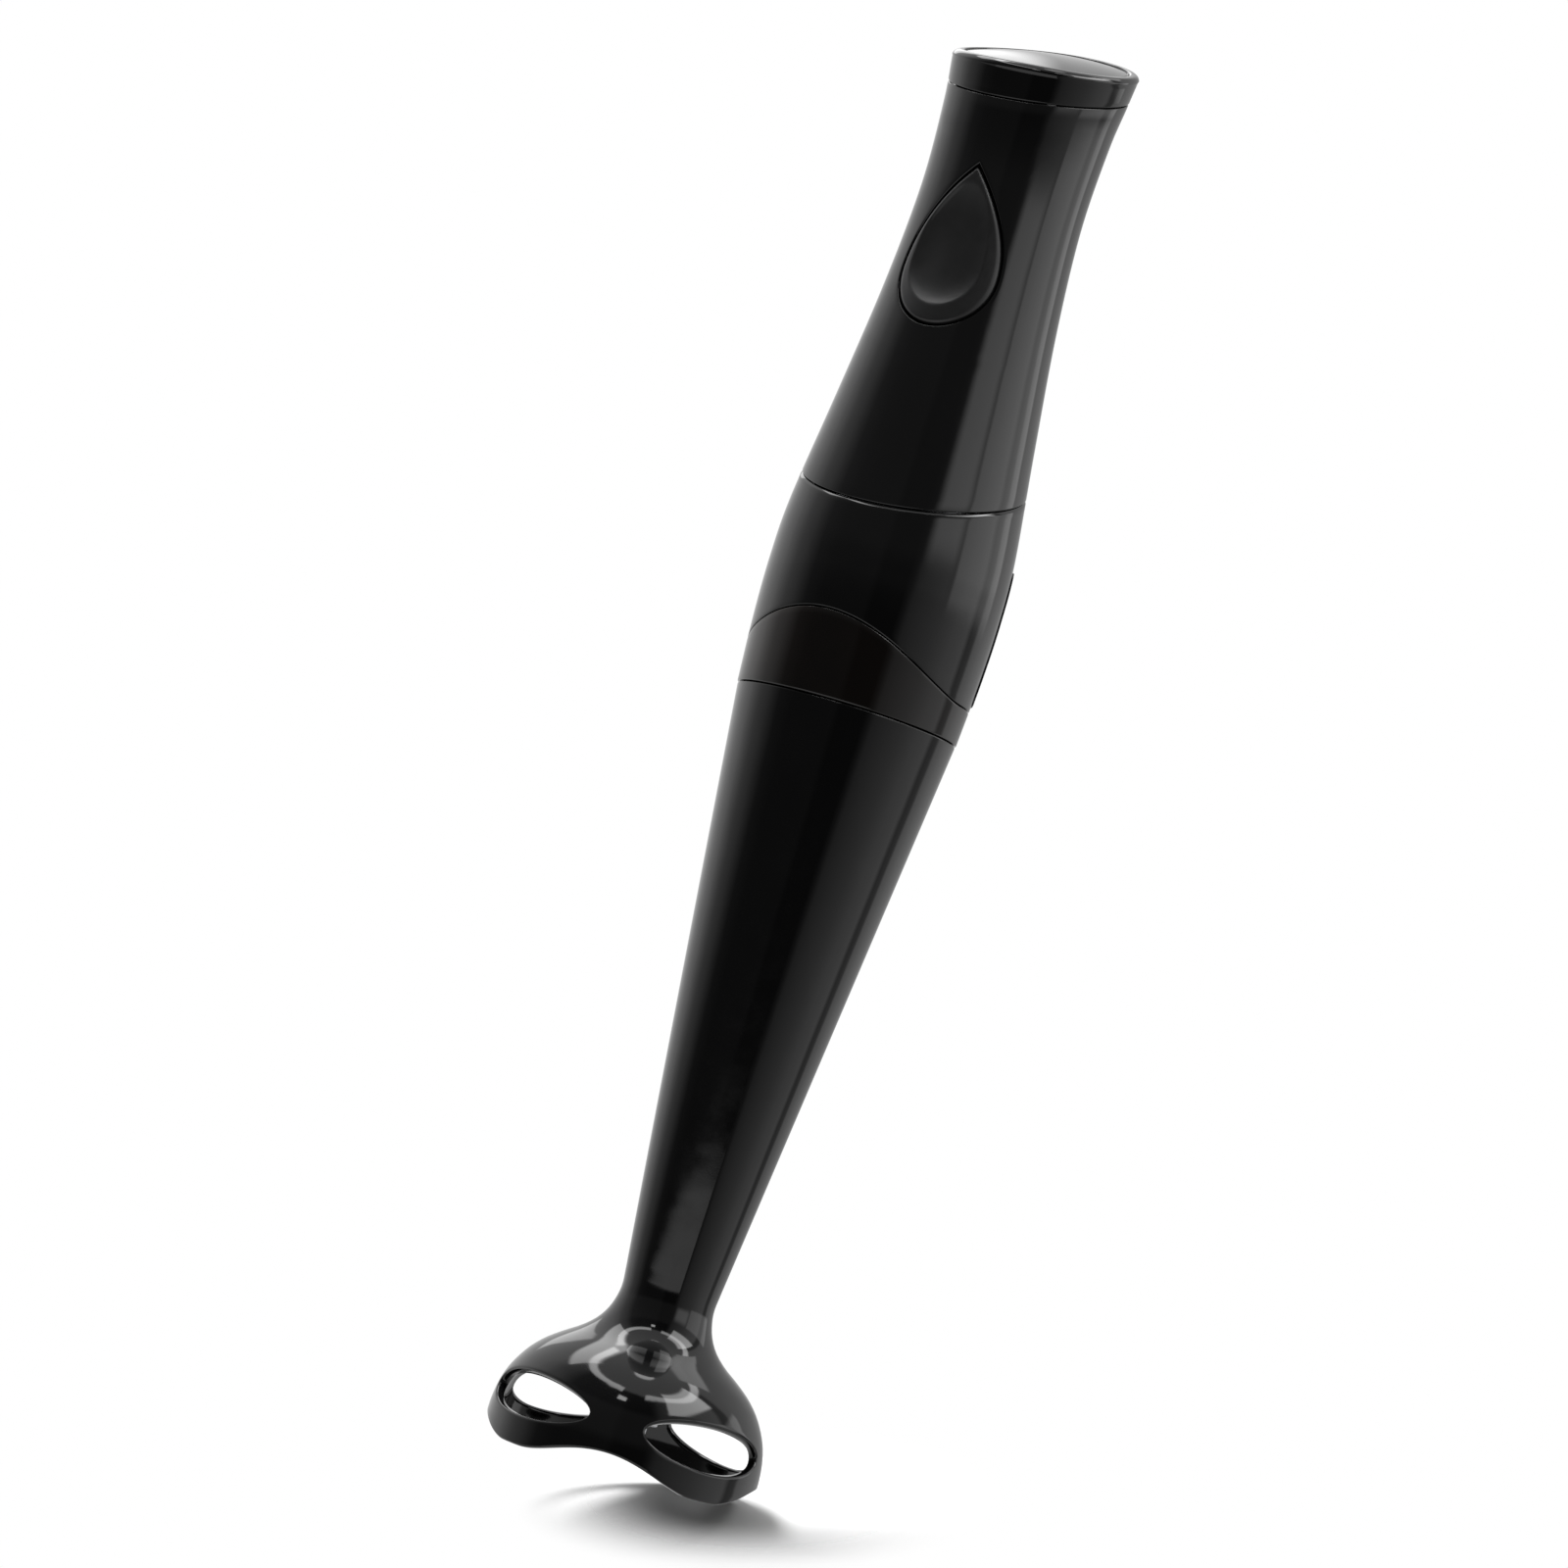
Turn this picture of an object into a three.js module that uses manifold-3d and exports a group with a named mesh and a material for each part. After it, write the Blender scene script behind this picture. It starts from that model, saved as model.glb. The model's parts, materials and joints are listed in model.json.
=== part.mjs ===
// Immersion blender, upright on its guard: millimetres, +Z up, button facing -Y, origin under the guard.
import * as THREE from "three";
import { mergeVertices } from "three/addons/utils/BufferGeometryUtils.js";
import Module from "manifold-3d";

const wasm = await Module();
wasm.setup();

// ---------------------------------------------------------------- driving dimensions
const GAP = 0.3; // clearance between neighbouring pieces
const WALL = 2.4; // moulded wall
const SIDES = 36; // sides of a large round piece
const SMALL_SIDES = 12; // sides of a small round piece

const SEAM_TILT = THREE.MathUtils.degToRad(21.5); // cap and grip seams drop towards the front
const TOP_Z = 353.2; // cap's top plane, on the axis
const CAP_SEAM_Z = 345.8; // cap to grip, on the axis
const GRIP_SEAM_Z = 245.6; // grip to motor housing, on the axis
const COLLAR_BACK_Z = 196.2; // collar's upper edge, level round the back
const COLLAR_ARCH = 11.6; // how far that edge rises at the front
const SHAFT_TOP_Z = 187.2; // where the blending shaft pulls off
const SHAFT_TOP_R = 27.2;

const NECK_Z = 42;
const NECK_R = 11.4;
const BELL_R = 33.3;
const LOBES = 4; // lobes of the guard's foot, with an arch between each two
const ARCH_HEIGHT = 5;
const ARCH_AZIMUTH = THREE.MathUtils.degToRad(18.5); // first arch, from the front towards +X
const LOBE_FLAT = 0.3; // depth of the wave cut off to give each lobe a small flat
const FOOT_BAND_Z = 6.6; // the wave of the foot has died out here
const WINDOW = { z: 12.2, halfWidth: 17.6, halfHeight: 5.35 }; // ellipse over each lobe

const BUTTON = { widestZ: 293.8, halfWidth: 12.6, rise: 27.2, drop: 14.1, gap: 0.7, proud: 0.3 };
const PIVOT = { y: -13, z: 318.5, r: 1.2, halfLength: 6.2 }; // hinge pin at the button's upper end
const PLUNGER_Z = 295;
const SPRING = { z: 284.5, y0: -15.2, y1: 3.3, r: 2.6, wire: 0.35, turns: 4 }; // behind its lower end

const MOTOR = { r: 20.5, bottom: 206, top: 252, shaftR: 2.5 };
const DRIVE_R = 3; // drive shaft inside the blending shaft
const HEX_R = 5; // dog of the drive coupling, across corners / 2

// Radius of the outer skin at chosen heights above the blending shaft.
const SKIN = new THREE.SplineCurve(
  [
    [27.35, 187], [28.4, 204], [28.75, 219], [28.15, 234], [25, 260.5],
    [21.75, 290], [20.15, 316], [20.9, 337], [22.1, 348], [23.8, 363], [25, 372],
  ].map(([r, z]) => new THREE.Vector2(r, z)),
).getPoints(180);

function skinRadius(z) {
  const i = Math.max(1, SKIN.findIndex((p) => p.y > z));
  const [a, b] = [SKIN[i - 1], SKIN[i]];
  return a.x + ((b.x - a.x) * (z - a.y)) / (b.y - a.y);
}

// ---------------------------------------------------------------- solids and how they are placed
function solid(geometry) {
  const bare = geometry.index ? geometry.toNonIndexed() : geometry.clone();
  bare.deleteAttribute("normal");
  bare.deleteAttribute("uv");
  const merged = mergeVertices(bare, 1e-3);
  const corners = merged.index.array;
  const faces = [];
  for (let i = 0; i < corners.length; i += 3) {
    const [a, b, c] = [corners[i], corners[i + 1], corners[i + 2]];
    if (a !== b && b !== c && c !== a) faces.push(a, b, c);
  }
  const make = (order) =>
    new wasm.Manifold(
      new wasm.Mesh({
        numProp: 3,
        vertProperties: merged.attributes.position.array,
        triVerts: new Uint32Array(order),
      }),
    );
  const made = make(faces);
  if (made.volume() > 0) return made;
  for (let i = 0; i < faces.length; i += 3) {
    [faces[i + 1], faces[i + 2]] = [faces[i + 2], faces[i + 1]];
  }
  return make(faces);
}

function geometryOf(made) {
  const mesh = made.getMesh();
  const count = mesh.vertProperties.length / mesh.numProp;
  const positions = new Float32Array(count * 3);
  for (let i = 0; i < count; i++) {
    positions.set(mesh.vertProperties.subarray(i * mesh.numProp, i * mesh.numProp + 3), i * 3);
  }
  const indexed = new THREE.BufferGeometry()
    .setAttribute("position", new THREE.BufferAttribute(positions, 3))
    .setIndex(new THREE.BufferAttribute(mesh.triVerts, 1));
  const flat = indexed.toNonIndexed();
  flat.computeVertexNormals();
  return flat;
}

// A closed [radius, height] outline turned about Z.
function turnedGeometry(outline, sides = SIDES) {
  const points = outline.map(([r, z]) => new THREE.Vector2(r, z));
  const onAxis = points[0].x === 0 && points.at(-1).x === 0;
  if (!onAxis) points.push(points[0].clone());
  return new THREE.LatheGeometry(points, sides).rotateX(Math.PI / 2);
}

const turned = (outline, sides) => solid(turnedGeometry(outline, sides));

const disc = (r, z0, z1, sides = SMALL_SIDES) => turned([[0, z0], [r, z0], [r, z1], [0, z1]], sides);

const ring = (r0, r1, z0, z1, sides = SMALL_SIDES) =>
  turned([[r0, z0], [r1, z0], [r1, z1], [r0, z1]], sides);

function box([x0, x1], [y0, y1], [z0, z1]) {
  const size = [x1 - x0, y1 - y0, z1 - z0];
  return solid(
    new THREE.BoxGeometry(...size).translate((x0 + x1) / 2, (y0 + y1) / 2, (z0 + z1) / 2),
  );
}

// A round rod between two points.
function rod(from, to, r, sides = 12) {
  const [a, b] = [new THREE.Vector3(...from), new THREE.Vector3(...to)];
  const along = b.clone().sub(a);
  const turn = new THREE.Quaternion().setFromUnitVectors(
    new THREE.Vector3(0, 1, 0),
    along.clone().normalize(),
  );
  const middle = a.add(b).multiplyScalar(0.5);
  return solid(
    new THREE.CylinderGeometry(r, r, along.length(), sides)
      .applyQuaternion(turn)
      .translate(middle.x, middle.y, middle.z),
  );
}

const joined = (first, ...others) => others.reduce((whole, piece) => whole.add(piece), first);

const less = (first, ...cutters) => cutters.reduce((whole, cutter) => whole.subtract(cutter), first);

// Everything above the plane that crosses the axis at z and drops towards the front by the seam tilt.
function aboveSeam(z) {
  const span = 160;
  return solid(
    new THREE.BoxGeometry(span, span, span)
      .translate(0, 0, span / 2)
      .rotateX(SEAM_TILT)
      .translate(0, 0, z),
  );
}

const between = (whole, low, high) => whole.intersect(aboveSeam(low)).subtract(aboveSeam(high));

// The body's outer skin between two heights, moved inwards, as a turned solid.
function core(inset, z0, z1, step = 14) {
  const rows = Math.max(1, Math.round((z1 - z0) / step));
  const outline = [[0, z0]];
  for (let i = 0; i <= rows; i++) {
    const z = z0 + ((z1 - z0) * i) / rows;
    outline.push([skinRadius(z) - inset, z]);
  }
  outline.push([0, z1]);
  return turned(outline);
}

// ---------------------------------------------------------------- the object as a scene graph
const group = new THREE.Group();

const FINISH = {
  glossBlack: { color: 0x0c0c0d, roughness: 0.16, metalness: 0 },
  smokeBlack: { color: 0x141010, roughness: 0.12, metalness: 0 },
  softBlack: { color: 0x232323, roughness: 0.6, metalness: 0 },
  darkLabel: { color: 0x1b1b1c, roughness: 0.4, metalness: 0 },
  rubber: { color: 0x181818, roughness: 0.85, metalness: 0 },
  nylon: { color: 0xd9d4c6, roughness: 0.5, metalness: 0 },
  steel: { color: 0xb9bcc0, roughness: 0.28, metalness: 1 },
  bronze: { color: 0xa9743b, roughness: 0.5, metalness: 1 },
  copper: { color: 0xb5652d, roughness: 0.35, metalness: 1 },
  ferrite: { color: 0x3b3b3e, roughness: 0.7, metalness: 0 },
  carbon: { color: 0x262626, roughness: 0.8, metalness: 0 },
  board: { color: 0x1f5a35, roughness: 0.5, metalness: 0 },
};

function add(name, made, finish) {
  const mesh = new THREE.Mesh(geometryOf(made), new THREE.MeshStandardMaterial(FINISH[finish]));
  mesh.name = name;
  group.add(mesh);
}

// ---------------------------------------------------------------- cap
const RIM_WIDTH = 2.6;
const WELL_DEPTH = 3.2; // well in the rim that holds the inset
const INSET_SUNK = 0.5; // how far the inset's face lies below the rim

function cap() {
  const low = CAP_SEAM_Z + GAP / 2;
  const whole = core(0, 330, 366);
  const well = core(RIM_WIDTH, 330, 367);
  const floorZ = TOP_Z - WELL_DEPTH;
  const hollow = core(RIM_WIDTH + 2, 329, 367);
  const rim = less(
    between(whole, low, TOP_Z),
    between(well, floorZ, TOP_Z + 20),
    between(hollow, low - 5, TOP_Z),
  );
  add("cap_rim", rim, "glossBlack");
  const inset = between(core(RIM_WIDTH + GAP, 330, 366), floorZ + GAP, TOP_Z - INSET_SUNK);
  add("cap_inset", inset, "glossBlack");
}

// ---------------------------------------------------------------- grip and its button
// The button's teardrop outline seen from the front: half an ellipse below, a parabola to a point above.
function teardrop(inset) {
  const { widestZ, halfWidth, rise, drop } = BUTTON;
  const width = halfWidth - inset;
  const side = (t) => width * (1 - t * t);
  const points = [];
  const lowerSteps = 12;
  for (let i = 0; i <= lowerSteps; i++) {
    const angle = Math.PI + (Math.PI * i) / lowerSteps;
    points.push(new THREE.Vector2(width * Math.cos(angle), widestZ + (drop - inset) * Math.sin(angle)));
  }
  const upperSteps = 8;
  for (let i = 1; i <= upperSteps; i++) {
    const t = i / upperSteps;
    points.push(new THREE.Vector2(side(t), widestZ + (rise - 1.6 * inset) * t));
  }
  for (let i = upperSteps - 1; i > 0; i--) {
    const t = i / upperSteps;
    points.push(new THREE.Vector2(-side(t), widestZ + (rise - 1.6 * inset) * t));
  }
  return new THREE.Shape(points);
}

// The teardrop carried straight back from the front of the grip.
function teardropPrism(inset) {
  const depth = 30;
  return solid(
    new THREE.ExtrudeGeometry(teardrop(inset), { depth, bevelEnabled: false, steps: 1 })
      .rotateX(Math.PI / 2),
  );
}

const GLAND = { z: 335, holeR: 4.9, bodyR: 4.5, flangeR: 6.6, boreR: 3.3 };

function grip() {
  const [low, high] = [GRIP_SEAM_Z + GAP / 2, CAP_SEAM_Z - GAP / 2];
  const shell = less(
    between(core(0, 230, 360), low, high),
    core(WALL, 229, 361),
    teardropPrism(0),
    rod([0, 10, GLAND.z], [0, 30, GLAND.z], GLAND.holeR, 16),
  );
  add("grip_shell", shell, "glossBlack");
}

function button() {
  const { proud, gap } = BUTTON;
  const face = less(
    teardropPrism(gap).intersect(core(-proud, 275, 328, 7)),
    core(WALL - 0.2, 274, 329, 7),
  );
  const dish = solid(
    new THREE.SphereGeometry(1, 20, 12).scale(11, 5.2, 12.5).translate(0, -26.2, 297),
  );
  const neck = box([-2.5, 2.5], [-19, -16.5], [311.5, 316.4]);
  const eye = box([-3.5, 3.5], [-16.8, -11], [311.5, 322]);
  const rib = box([-1.5, 1.5], [-19.2, -7], [PLUNGER_Z - 2, PLUNGER_Z + 2]);
  const hole = rod([-5, PIVOT.y, PIVOT.z], [5, PIVOT.y, PIVOT.z], PIVOT.r + GAP, 16);
  const springPeg = rod([0, -20, SPRING.z], [0, -16, SPRING.z], 1.8);
  add("power_button", less(joined(less(face, dish), neck, eye, rib, springPeg), hole), "softBlack");

  const { y, z, r, halfLength } = PIVOT;
  add("button_pivot_pin", rod([-halfLength, y, z], [halfLength, y, z], r), "steel");
  add("button_spring", coilSpring(), "steel");
}

// Centre line of the button's compression spring, wound along Y.
class SpringPath extends THREE.Curve {
  getPoint(t, target = new THREE.Vector3()) {
    const { z, y0, y1, r, turns } = SPRING;
    const angle = 2 * Math.PI * turns * t;
    return target.set(r * Math.cos(angle), y0 + (y1 - y0) * t, z + r * Math.sin(angle));
  }
}

function coilSpring() {
  const wire = new THREE.Shape().absarc(0, 0, SPRING.wire, 0, 2 * Math.PI);
  const extrudePath = new SpringPath();
  return solid(new THREE.ExtrudeGeometry(wire, { steps: 40, curveSegments: 3, extrudePath }));
}

// ---------------------------------------------------------------- chassis and electrics in the grip
function electrics() {
  const plate = box([-14, 14], [6.2, 8.2], [262, 329]);
  const arm = (x0, x1) => box([x0, x1], [-16, 6.5], [313.5, 322.5]);
  const pinHole = rod([-9, PIVOT.y, PIVOT.z], [9, PIVOT.y, PIVOT.z], PIVOT.r + GAP, 16);
  const screw = { x: 4.6, z: 312, r: 1.25, headR: 2.4 };
  const screwHoles = [screw.x, -screw.x].map((x) => rod([x, 5, screw.z], [x, 12, screw.z], screw.r + 0.35));
  const chassis = less(joined(plate, arm(4, 6.2), arm(-6.2, -4)), pinHole, ...screwHoles);
  add("switch_chassis", chassis, "nylon");

  add("circuit_board", box([-12.5, 12.5], [4.1, 5.7], [268, 310]), "board");
  const body = box([-5, 5], [-4.2, 3.8], [288, 305]);
  const well = rod([0, -6, PLUNGER_Z], [0, 0.4, PLUNGER_Z], 1.7);
  add("micro_switch", less(body, well), "carbon");
  const plunger = rod([0, -6.7, PLUNGER_Z], [0, -1.5, PLUNGER_Z], 1.2);
  add("switch_plunger", plunger, "nylon");
  add("rectifier", box([-11.5, -6], [0.6, 3.8], [271, 283]), "carbon");
  add("suppression_capacitor", box([5.5, 12], [-3.2, 3.8], [270, 283]), "nylon");

  add("cord_clamp", less(box([-7, 7], [8.5, 11], [308, 316]), ...screwHoles), "nylon");
  [screw.x, -screw.x].forEach((x, i) => {
    const shank = rod([x, 4.6, screw.z], [x, 12, screw.z], screw.r);
    const head = rod([x, 11.3, screw.z], [x, 13, screw.z], screw.headR, 16);
    add("clamp_screw_" + (i + 1), joined(shank, head), "steel");
  });

  // Rubber bush in the back of the grip where the mains cord leaves.
  const { bodyR, flangeR, boreR } = GLAND;
  const outline = [
    [boreR, 13], [bodyR, 13], [5.8, 14.4], [5.8, 16.9], [bodyR, 16.9], [bodyR, 21.9], [flangeR, 21.9],
    [flangeR - 0.8, 23.6], [boreR, 23.6],
  ];
  const bush = turnedGeometry(outline, 16).rotateX(-Math.PI / 2).translate(0, 0, GLAND.z);
  add("cord_gland", solid(bush), "rubber");
}

// ---------------------------------------------------------------- motor housing, plate and collar
const PLATE = { z0: 198, z1: 232, halfAngle: THREE.MathUtils.degToRad(68), proud: 0.4, pocket: 0.4 };

// A wedge round the back of the body, from the axis outwards.
function backWedge(halfAngle, z0, z1) {
  const reach = 40;
  const steps = 12;
  const outline = [new THREE.Vector2(0, 0)];
  for (let i = 0; i <= steps; i++) {
    const angle = -halfAngle + (2 * halfAngle * i) / steps;
    outline.push(new THREE.Vector2(reach * Math.sin(angle), reach * Math.cos(angle)));
  }
  const wedge = new THREE.ExtrudeGeometry(new THREE.Shape(outline), { depth: z1 - z0, bevelEnabled: false });
  return solid(wedge.translate(0, 0, z0));
}

// Everything above the collar's upper edge: level round the back, arched up at the front.
function aboveCollar(lift) {
  const reach = 34;
  const roof = 270;
  const steps = 12;
  const low = COLLAR_BACK_Z + lift;
  const outline = [new THREE.Vector2(reach, roof), new THREE.Vector2(-reach, roof)];
  for (let i = 0; i <= steps; i++) {
    const y = -reach * (1 - i / steps);
    outline.push(new THREE.Vector2(y, low + COLLAR_ARCH * (y / skinRadius(low)) ** 2));
  }
  outline.push(new THREE.Vector2(reach, low));
  const slab = new THREE.ExtrudeGeometry(new THREE.Shape(outline), { depth: 80, bevelEnabled: false });
  return solid(slab.translate(0, 0, -40).rotateX(Math.PI / 2).rotateZ(Math.PI / 2));
}

function housing() {
  const { z0, z1, halfAngle, proud, pocket } = PLATE;
  const rowStep = 5;
  // A layer of the skin over the plate's heights, from proud of the surface down into the wall.
  const layer = (out, down) =>
    less(core(-out, z0 - 1, z1 + 1, rowStep), core(down, z0 - 2, z1 + 2, rowStep));
  const pocketWedge = backWedge(halfAngle + 0.01, z0 - GAP, z1 + GAP);
  const tube = less(
    core(0, 190, 270).intersect(aboveCollar(GAP / 2)),
    aboveSeam(GRIP_SEAM_Z - GAP / 2),
    core(WALL, 180, 275),
  );
  add("motor_housing", less(tube, layer(1, pocket).intersect(pocketWedge)), "glossBlack");
  add("rating_plate", layer(proud, pocket - GAP).intersect(backWedge(halfAngle, z0, z1)), "darkLabel");
}

const COUPLING_HOLE_R = 8.6;
const SPIGOT = { r0: 17.5, r1: 19.8, z: 181 }; // ring that centres the top of the blending shaft

function collar() {
  const floorZ = SHAFT_TOP_Z + GAP;
  const sleeveZ = 212; // sleeve that stands up inside the motor housing
  const skin = less(
    core(0, floorZ, sleeveZ).subtract(aboveCollar(-GAP / 2)),
    core(WALL, floorZ + WALL, sleeveZ + 1),
  );
  const sleeve = less(core(WALL + GAP, floorZ + 1, sleeveZ), core(WALL * 2, floorZ, sleeveZ + 1));
  const footR = skinRadius(floorZ) - WALL;
  const foot = ring(footR - 3, footR + 0.4, floorZ + 1, floorZ + 4, SIDES);
  const spigot = ring(SPIGOT.r0, SPIGOT.r1, SPIGOT.z, floorZ + 0.5, SIDES);
  add("collar", less(joined(skin, sleeve, foot, spigot), disc(COUPLING_HOLE_R, 170, 200)), "smokeBlack");
}

// ---------------------------------------------------------------- motor
const MAGNET = { r0: 14.9, r1: 19, z0: 212, z1: 243, halfAngle: THREE.MathUtils.degToRad(62) };

function magnet(turn) {
  const { r0, r1, z0, z1, halfAngle } = MAGNET;
  const shape = new THREE.Shape()
    .absarc(0, 0, r1, -halfAngle, halfAngle, false)
    .absarc(0, 0, r0, halfAngle, -halfAngle, true);
  const options = { depth: z1 - z0, bevelEnabled: false, curveSegments: 12 };
  return solid(new THREE.ExtrudeGeometry(shape, options).translate(0, 0, z0).rotateZ(turn));
}

function stator() {
  const { r, bottom, top } = MOTOR;
  const canWall = 1.2;
  const holeR = 5.3; // hole that holds a bearing
  const can = turned([
    [holeR, bottom], [r, bottom], [r, top], [r - canWall, top],
    [r - canWall, bottom + canWall], [holeR, bottom + canWall],
  ], 30);
  add("motor_can", can, "steel");
  const [coverZ, flangeZ, bossZ, bossR] = [top + GAP, top + GAP + 3.4, top + GAP + 5.5, 8];
  const cover = turned([
    [holeR, coverZ], [r, coverZ], [r, flangeZ], [bossR, flangeZ], [bossR, bossZ], [holeR, bossZ],
  ], 24);
  add("motor_end_cap", cover, "nylon");
  add("magnet_right", magnet(0), "ferrite");
  add("magnet_left", magnet(Math.PI), "ferrite");
  const brush = (reach) => box(reach, [-2, 2], [248, 251.4]);
  add("brush_right", brush([6.9, 13]), "carbon");
  add("brush_left", brush([-13, -6.9]), "carbon");
  const bearing = (z0, z1) => ring(MOTOR.shaftR + GAP, 5, z0, z1);
  add("motor_bearing_lower", bearing(205.2, 209.6), "bronze");
  add("motor_bearing_upper", bearing(252.4, 257.4), "bronze");
  const mount = (z0, z1, outer) => ring(r + GAP, outer, z0, z1, SIDES);
  add("motor_mount_lower", mount(213.5, 219.5, 25.6), "rubber");
  add("motor_mount_upper", mount(244, 250, 23.2), "rubber");
}

function rotor() {
  const { shaftR } = MOTOR;
  add("motor_shaft", disc(shaftR, 189.4, 262, SMALL_SIDES), "steel");
  const slots = 5;
  let lamination = ring(shaftR + GAP, 14.3, 215.4, 239.6, 40);
  for (let i = 0; i < slots; i++) {
    const slot = new THREE.BoxGeometry(7, 2.2, 40).translate(12.5, 0, 227);
    lamination = lamination.subtract(solid(slot.rotateZ((2 * Math.PI * i) / slots)));
  }
  add("rotor_core", lamination, "steel");
  // End turns of the winding: a ring with its outer corners taken off.
  const endTurns = (z0, z1) => {
    const [inner, flat, outer] = [shaftR + GAP + 1, 10, 12.4];
    return turned([[inner, z0], [flat, z0], [outer, z0 + 1.6], [outer, z1 - 1], [flat, z1], [inner, z1]], 16);
  };
  add("rotor_winding_lower", endTurns(210.4, 215.1), "copper");
  add("rotor_winding_upper", endTurns(239.9, 244.6), "copper");
  add("commutator", ring(shaftR + GAP, 6.6, 245.6, 251.8), "copper");

  const blades = 9;
  let fan = joined(ring(shaftR + GAP, 6, 199, 204.4), ring(5, 17, 203.2, 204.4, 20));
  for (let i = 0; i < blades; i++) {
    const blade = new THREE.BoxGeometry(11.5, 1.1, 4.6).rotateZ(0.5).translate(11.2, 0, 201.5);
    fan = fan.add(solid(blade.rotateZ((2 * Math.PI * i) / blades)));
  }
  add("cooling_fan", fan, "nylon");

  const dog = disc(HEX_R, 179, 188, 6);
  const hub = joined(dog, disc(7.4, 187.6, 190.4), disc(5.4, 190, 197.6));
  add("drive_coupling", less(hub, disc(shaftR + GAP, 189.1, 200)), "nylon");
}

// ---------------------------------------------------------------- blending shaft with its guard
// Height of the guard's lower edge at an azimuth: an arch between each two lobes, flat under a lobe.
function footLift(azimuth) {
  const wave = (1 + Math.cos(LOBES * (azimuth - ARCH_AZIMUTH))) / 2;
  return Math.max(0, (ARCH_HEIGHT + LOBE_FLAT) * wave - LOBE_FLAT);
}

function waveFoot(geometry) {
  const position = geometry.attributes.position;
  for (let i = 0; i < position.count; i++) {
    const [x, y, z] = [position.getX(i), position.getY(i), position.getZ(i)];
    if (z < FOOT_BAND_Z) {
      const lift = footLift(Math.atan2(x, -y)) * (1 - z / FOOT_BAND_Z);
      position.setZ(i, z + lift);
    }
  }
  return geometry;
}

// One see-through window: an ellipse carried out through the guard's wall above a lobe.
function windowCutter(index) {
  const { z, halfWidth, halfHeight } = WINDOW;
  const ellipse = new THREE.Shape().absellipse(0, z, halfWidth, halfHeight, 0, 2 * Math.PI);
  const lens = new THREE.ExtrudeGeometry(ellipse, { depth: 20, curveSegments: 10, bevelEnabled: false });
  const azimuth = ARCH_AZIMUTH + (Math.PI * (2 * index + 1)) / LOBES;
  return solid(lens.rotateX(Math.PI / 2).translate(0, -20, 0).rotateZ(azimuth));
}

const INNER_FOOT = { r: 9.4, z: 52 }; // lower end of the hollow cone inside the shaft

function blendingShaft() {
  const boss = { r: 8.6, holeR: 5.8, low: 23, high: 48 }; // holds the seal and the lower bushing
  const innerTop = SHAFT_TOP_R - WALL;
  const outline = [
    [BELL_R, 0], [BELL_R, FOOT_BAND_Z], [32.6, 12], [30.5, 17.6], [27.2, 22.5], [22, 27.1], [16.2, 31.2],
    [12.9, 35.2], [NECK_R, NECK_Z], [11.7, 46], [SHAFT_TOP_R, SHAFT_TOP_Z], [innerTop, SHAFT_TOP_Z],
    [INNER_FOOT.r, INNER_FOOT.z], [8.4, boss.high], [boss.holeR, boss.high], [boss.holeR, boss.low],
    [boss.r, boss.low], [boss.r, 29.6], [13, 29.8], [19.4, 25.8], [24.8, 21], [28.3, 16], [30.4, 10.8],
    [31, FOOT_BAND_Z], [31, 0],
  ];
  const body = waveFoot(turnedGeometry(outline, LOBES * 14).rotateZ(ARCH_AZIMUTH));
  let guard = solid(body);
  for (let i = 0; i < LOBES; i++) guard = guard.subtract(windowCutter(i));
  add("shaft_and_guard", guard, "glossBlack");
}

function shaftBearings() {
  const bore = DRIVE_R + GAP;
  add("shaft_seal", ring(bore, 5.5, 23.4, 26.8), "rubber");
  add("lower_bushing", ring(bore, 5.5, 27.2, 45), "bronze");
  const taper = (SHAFT_TOP_R - WALL - INNER_FOOT.r) / (SHAFT_TOP_Z - INNER_FOOT.z);
  const webRadius = (z) => INNER_FOOT.r + taper * (z - INNER_FOOT.z) - GAP - 0.2;
  const [low, high, hubR, holeR, hubReach] = [158, 163, 8.4, 5.8, 4];
  const carrier = turned([
    [holeR, low - hubReach], [hubR, low - hubReach], [hubR, low], [webRadius(low), low],
    [webRadius(high), high], [hubR, high], [hubR, high + hubReach], [holeR, high + hubReach],
  ], 24);
  add("bearing_carrier", carrier, "nylon");
  add("upper_bushing", ring(bore, 5.5, low - 3, high + 3), "bronze");
  const socket = disc(HEX_R + 0.6, 177.4, 190, 6);
  add("driven_coupling", less(disc(9, 171.5, 185.8, 30), socket, disc(bore, 165, 175.4)), "nylon");
  add("retaining_clip", ring(bore, 5, 168.4, 169.6), "steel");
}

const BLADE_Z = 12;
const BLADE_TURN = THREE.MathUtils.degToRad(-70); // at rest the blade points to the front, behind a pillar

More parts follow.
